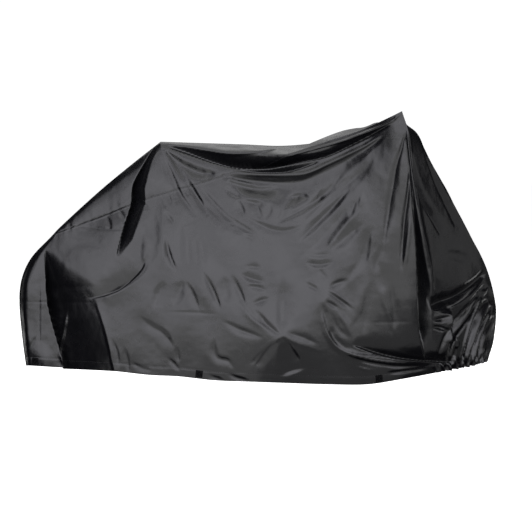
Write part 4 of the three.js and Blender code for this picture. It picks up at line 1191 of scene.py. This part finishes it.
# %% [markdown]
# Stitches follow a path and repeat, so Geometry Nodes set them: a line of points becomes a curve, the
# curve is cut into even steps, and each step gets one small bead of thread turned along it. One tree
# serves the hem, the seams and the patches.

# %% Stitch tree
BEAD = dict(Segments=6, Rings=4, Radius=0.5)


def input_socket(tree, name, kind):
    """A named input of a Geometry Nodes tree, by its identifier."""
    return tree.interface.new_socket(name=name, in_out="INPUT", socket_type=kind).identifier


def stitch_tree():
    """Geometry Nodes that sew a line of stitches along the edges of a mesh."""
    tree = bpy.data.node_groups.new("stitches", "GeometryNodeTree")
    names = {
        "path": input_socket(tree, "Path", "NodeSocketGeometry"),
        "pitch": input_socket(tree, "Pitch", "NodeSocketFloat"),
        "length": input_socket(tree, "Stitch length", "NodeSocketFloat"),
        "thickness": input_socket(tree, "Thread thickness", "NodeSocketFloat"),
        "material": input_socket(tree, "Material", "NodeSocketMaterial"),
    }
    tree.interface.new_socket(name="Stitches", in_out="OUTPUT", socket_type="NodeSocketGeometry")
    given = tree.nodes.new("NodeGroupInput").outputs
    curve = add_node(tree, "GeometryNodeMeshToCurve", [("Mesh", given["Path"])])
    steps = add_node(tree, "GeometryNodeResampleCurve", [
        ("Curve", curve.outputs["Curve"]), ("Length", given["Pitch"])], mode="LENGTH")
    tangent = add_node(tree, "GeometryNodeInputTangent")
    turn = add_node(tree, "FunctionNodeAlignRotationToVector", [
        ("Vector", tangent.outputs["Tangent"])], axis="X")
    bead = add_node(tree, "GeometryNodeMeshUVSphere", **BEAD)
    sizes = add_node(tree, "ShaderNodeCombineXYZ", [
        ("X", given["Stitch length"]), ("Y", given["Thread thickness"]), ("Z", given["Thread thickness"])])
    sewn = add_node(tree, "GeometryNodeInstanceOnPoints", [
        ("Points", steps.outputs["Curve"]), ("Instance", bead.outputs["Mesh"]),
        ("Rotation", turn.outputs["Rotation"]), ("Scale", sizes.outputs["Vector"])])
    real = add_node(tree, "GeometryNodeRealizeInstances", [("Geometry", sewn.outputs["Instances"])])
    smooth = add_node(tree, "GeometryNodeSetShadeSmooth", [("Geometry", real.outputs["Geometry"])])
    coloured = add_node(tree, "GeometryNodeSetMaterial", [
        ("Geometry", smooth.outputs["Geometry"]), ("Material", given["Material"])])
    result = tree.nodes.new("NodeGroupOutput")
    tree.links.new(coloured.outputs["Geometry"], result.inputs["Stitches"])
    return tree, names


STITCH_TREE, STITCH_INPUTS = stitch_tree()
print("stitch tree of", len(STITCH_TREE.nodes), "nodes")

# %% [markdown]
# The hems get a line of stitches at the top of the band, and the seams a line beside them. Both lines
# are read off the draped panels, a column at a time, so that they follow every fold. The stitches then
# become plain meshes, which any other program can read.

# %% Sewing
STITCH_LIFT = 0.35 * MM
HEM_STITCH = dict(pitch=8 * MM, length=6 * MM, thickness=0.9 * MM)
SEAM_STITCH = dict(pitch=6 * MM, length=4.4 * MM, thickness=0.8 * MM)
SEAM_TO_STITCH = 7 * MM
HEM_COLUMNS = slice(2, -2)
SEAM_COLUMNS = slice(4, len(top_columns) - 2)


def sew(name, runs, pitch, length, thickness):
    """Stitches along one or more lines of points, as one plain mesh."""
    edges, start = [], 0
    for run in runs:
        edges += [(start + i, start + i + 1) for i in range(len(run) - 1)]
        start += len(run)
    mesh = bpy.data.meshes.new(name)
    mesh.from_pydata(np.concatenate(runs).tolist(), edges, [])
    piece = link(name, mesh)
    sewing = piece.modifiers.new("sewing", "NODES")
    sewing.node_group = STITCH_TREE
    for key, value in dict(pitch=pitch, length=length, thickness=thickness, material=THREAD).items():
        sewing[STITCH_INPUTS[key]] = value
    return flatten(piece)


def line_on(panel, distance, from_top, columns_used):
    """A line on a panel at a distance from its hem or its seam, a little proud of the cloth."""
    points = panels[panel][:, columns_used]
    outward = -1 if panel == "far" else 1
    lifted = points + grid_normals(points, outward) * STITCH_LIFT
    rise = run_length(points, 0)
    rise = rise[-1] - rise if from_top else rise
    line = []
    for column in range(points.shape[1]):
        order = np.argsort(rise[:, column])
        at = rise[order, column]
        line.append([np.interp(distance, at, lifted[order, column, axis]) for axis in range(3)])
    return np.array(line)


stitches = {}
for side in ("near", "far"):
    hem_line = line_on(side, HEM_BAND * MM, False, HEM_COLUMNS)
    stitches[side] = sew(side + "_hem_stitches", [hem_line], **HEM_STITCH)
for side in ("near", "far"):
    seam_line = line_on(side, SEAM_TO_STITCH, True, SEAM_COLUMNS)
    stitches[side + " seam"] = sew(side + "_seam_stitches", [seam_line], **SEAM_STITCH)
print({piece.name: len(piece.data.polygons) for piece in stitches.values()})

# %% [markdown]
# Each patch is sewn down with a square of stitches and a cross in it, the usual way to hold a piece of
# webbing that is pulled at.

# %% Stitches of the patches
PATCH_STITCH = dict(pitch=2.6 * MM, length=2.2 * MM, thickness=0.7 * MM)
STITCH_INSET = 4 * MM
RUN_POINTS = 12


def patch_stitches(node):
    """A square of stitches with a cross in it."""
    side = "far" if "far" in node else "near"
    middle, right, up, out, half = patch_axes(node)
    reach = half - STITCH_INSET
    corners = [(-reach, -reach), (reach, -reach), (reach, reach), (-reach, reach), (-reach, -reach)]
    runs = list(zip(corners[:-1], corners[1:])) + [(corners[0], corners[2]), (corners[1], corners[3])]
    lift = out * (PATCH_GAP + PATCH_THICKNESS + RIBS["height"])
    share = np.linspace(0, 1, RUN_POINTS)[:, None]
    sewn = []
    for begin, end in runs:
        flat = np.array(begin) * (1 - share) + np.array(end) * share
        points = middle + flat[:, :1] * right + flat[:, 1:] * up
        sewn.append(on_cloth(side, points, out) + lift)
    return sew(node + "_stitches", sewn, **PATCH_STITCH)


for node in patches:
    stitches[node] = patch_stitches(node)
print({node: len(stitches[node].data.polygons) for node in patches})

# %% [markdown]
# The studio is a pale floor with white all round. Both show only to the camera. If the cloth mirrored
# them too, every edge would shine, and the folds that turn away from the lights would not be black.

# %% Studio
FLOOR = -ORIGIN[2] * MM
DOME_RADIUS = 28.0
DOME_GLOW = 1.05
FLOOR_RADIUS = 27.0
FLOOR_TONE = 0.86
FLOOR_ROUGHNESS = 0.9
FLOOR_GLOW = 1.0
WHITE = (1, 1, 1)


def glow(name, colour, strength):
    """A plain glowing surface."""
    material = bpy.data.materials.new(name)
    material.use_nodes = True
    tree = material.node_tree
    tree.nodes.clear()
    light = add_node(tree, "ShaderNodeEmission", Color=(*colour, 1), Strength=strength)
    result = tree.nodes.new("ShaderNodeOutputMaterial")
    tree.links.new(light.outputs["Emission"], result.inputs["Surface"])
    return material


def pale_floor():
    """A pale matt floor that also glows a little, as paper lit from below."""
    material, _, shader = new_material("pale_floor")
    shader.inputs["Base Color"].default_value = (FLOOR_TONE, FLOOR_TONE, FLOOR_TONE, 1)
    shader.inputs["Roughness"].default_value = FLOOR_ROUGHNESS
    shader.inputs["Emission Color"].default_value = (*WHITE, 1)
    shader.inputs["Emission Strength"].default_value = FLOOR_GLOW
    return material


def stage_piece(name, make, material):
    """A piece of the studio made with bmesh."""
    work = bmesh.new()
    make(work)
    mesh = bpy.data.meshes.new(name)
    work.to_mesh(mesh)
    work.free()
    mesh.materials.append(material)
    piece = link(name, mesh)
    return piece


def make_floor(work):
    """A flat disc under the object."""
    lowered = Matrix.Translation((0, 0, FLOOR))
    bmesh.ops.create_circle(work, cap_ends=True, segments=96, radius=FLOOR_RADIUS, matrix=lowered)


def make_dome(work):
    """A ball round everything."""
    bmesh.ops.create_uvsphere(work, u_segments=48, v_segments=24, radius=DOME_RADIUS)


floor = stage_piece("floor", make_floor, pale_floor())
dome = stage_piece("white_surround", make_dome, glow("white_surround", WHITE, DOME_GLOW))
for piece in (floor, dome):
    piece.visible_glossy = False
    piece.visible_diffuse = False
dome.visible_shadow = False
dome.visible_transmission = False
print("floor at", FLOOR)

# %% [markdown]
# A satin cloth shows its lights as soft mirror images, so the lamps are large rectangles, placed where
# the folds mirror them: wide ones in front, one high up and one overhead, weak ones at the ends, and
# low ones that stand for light off the floor. Those behind light the far side and the top edge. Each
# row is a place, what it aims at, a width and a height in metres, how it glows, and its colour.

# %% Lamps
Lamp = namedtuple("Lamp", "name place aim width height glow colour")
COOL = (0.945, 0.94, 1.0)
SURROUND_TINT = (0.012, 0.012, 0.013, 1)
LAMPS = [
    Lamp("front_softbox", (-900, -4400, 2000), (-900, 0, 2000), 10.4, 4.2, 1.75, COOL),
    Lamp("front_softbox_wide", (-250, -4390, 1600), (-250, 0, 1600), 6.4, 3.4, 0.47, COOL),
    Lamp("front_softbox_middle", (-250, -4380, 1600), (-250, 0, 1600), 4.4, 2.4, 0.47, COOL),
    Lamp("front_softbox_core", (-250, -4370, 1600), (-250, 0, 1600), 2.8, 1.6, 0.47, COOL),
    Lamp("front_left_core", (-3700, -4370, 1900), (-3700, 0, 1900), 2.4, 3.8, 0.78, COOL),
    Lamp("high_front", (-1500, -3300, 4300), (-1100, 0, 700), 9.6, 2.5, 1.6, COOL),
    Lamp("front_side_fill", (5200, -3800, 1300), (500, 0, 500), 2.6, 2.6, 1.45, WHITE),
    Lamp("far_floor_bounce", (450, -2740, 20), (450, -2740, 900), 4.3, 3.68, 1.6, WHITE),
    Lamp("rear_floor_bounce", (-2600, -3200, 20), (-2600, -3200, 900), 1.8, 2.4, 1.6, WHITE),
    Lamp("near_floor_bounce", (-450, -650, 20), (-450, -650, 900), 0.9, 0.7, 1.1, WHITE),
    Lamp("middle_front_bounce", (450, -750, 20), (450, -750, 900), 0.9, 0.3, 0.7, WHITE),
    Lamp("near_front_bounce", (450, -420, 20), (450, -420, 900), 0.9, 0.36, 0.5, WHITE),
    Lamp("pouch_floor_bounce", (1700, -600, 20), (1700, -600, 900), 1.6, 1.4, 0.26, WHITE),
    Lamp("overhead", (0, 300, 3400), (0, 300, 900), 4.4, 4.6, 1.55, WHITE),
    Lamp("front_end_fill", (4200, 0, 1000), (700, 0, 600), 2.7, 2.4, 0.45, WHITE),
    Lamp("rear_end_fill", (-3800, 3000, 900), (-300, 0, 500), 1.8, 2.2, 0.4, WHITE),
    Lamp("far_softbox", (-300, 4600, 480), (-300, 0, 480), 6.4, 0.9, 1.2, WHITE),
    Lamp("far_side_floor", (-200, 2400, 20), (-200, 2400, 900), 6.0, 3.4, 1.3, WHITE),
    Lamp("back_softbox", (30, 4200, 4200), (30, 0, 600), 6.0, 3.0, 0.9, WHITE),
    Lamp("top_edge_softbox", (-50, 4200, 2300), (-50, 0, 2300), 2.0, 1.7, 0.3, WHITE),
]


def add_lamp(lamp):
    """A soft rectangular light that the camera doesn't see."""
    data = bpy.data.lights.new(lamp.name, "AREA")
    data.shape = "RECTANGLE"
    data.size, data.size_y = lamp.width, lamp.height
    data.color = lamp.colour
    data.energy = lamp.glow * math.pi * lamp.width * lamp.height
    light = bpy.data.objects.new(lamp.name, data)
    light.location = in_frame(lamp.place)
    light.rotation_euler = Vector(np.subtract(lamp.aim, lamp.place)).to_track_quat("-Z", "Y").to_euler()
    light.visible_camera = False
    scene_objects.link(light)
    return light


for lamp in LAMPS:
    add_lamp(lamp)
world = bpy.data.worlds.new("studio")
world.use_nodes = True
world.node_tree.nodes["Background"].inputs["Color"].default_value = SURROUND_TINT
bpy.context.scene.world = world
bpy.context.scene.view_settings.view_transform = "Standard"
print(len(LAMPS), "lights")

# %% [markdown]
# Last, each piece and its stitches ride on the root body, and the solid it stands for is hidden. The
# table also gives the flat size and area that each panel was cut to, which nothing here reads.

Cut = namedtuple("Cut", "piece node flat area stitches")
CUTS = [
    Cut(near_cloth, "side_panel_near", (1.02, 1.95), 1.52, [stitches["near"], stitches["near seam"]]),
    Cut(far_cloth, "side_panel_far", (1.02, 1.95), 1.52, [stitches["far"], stitches["far seam"]]),
    Cut(top_cloth, "top_panel", (0.62, 1.55), 0.45, []),
]
for cut in CUTS:
    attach(cut.piece, "root")
    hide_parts(cut.node)
    for line in cut.stitches:
        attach(line, "root")
for node, patch in patches.items():
    for piece in (patch, stitches[node]):
        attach(piece, "root")
    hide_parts(node)
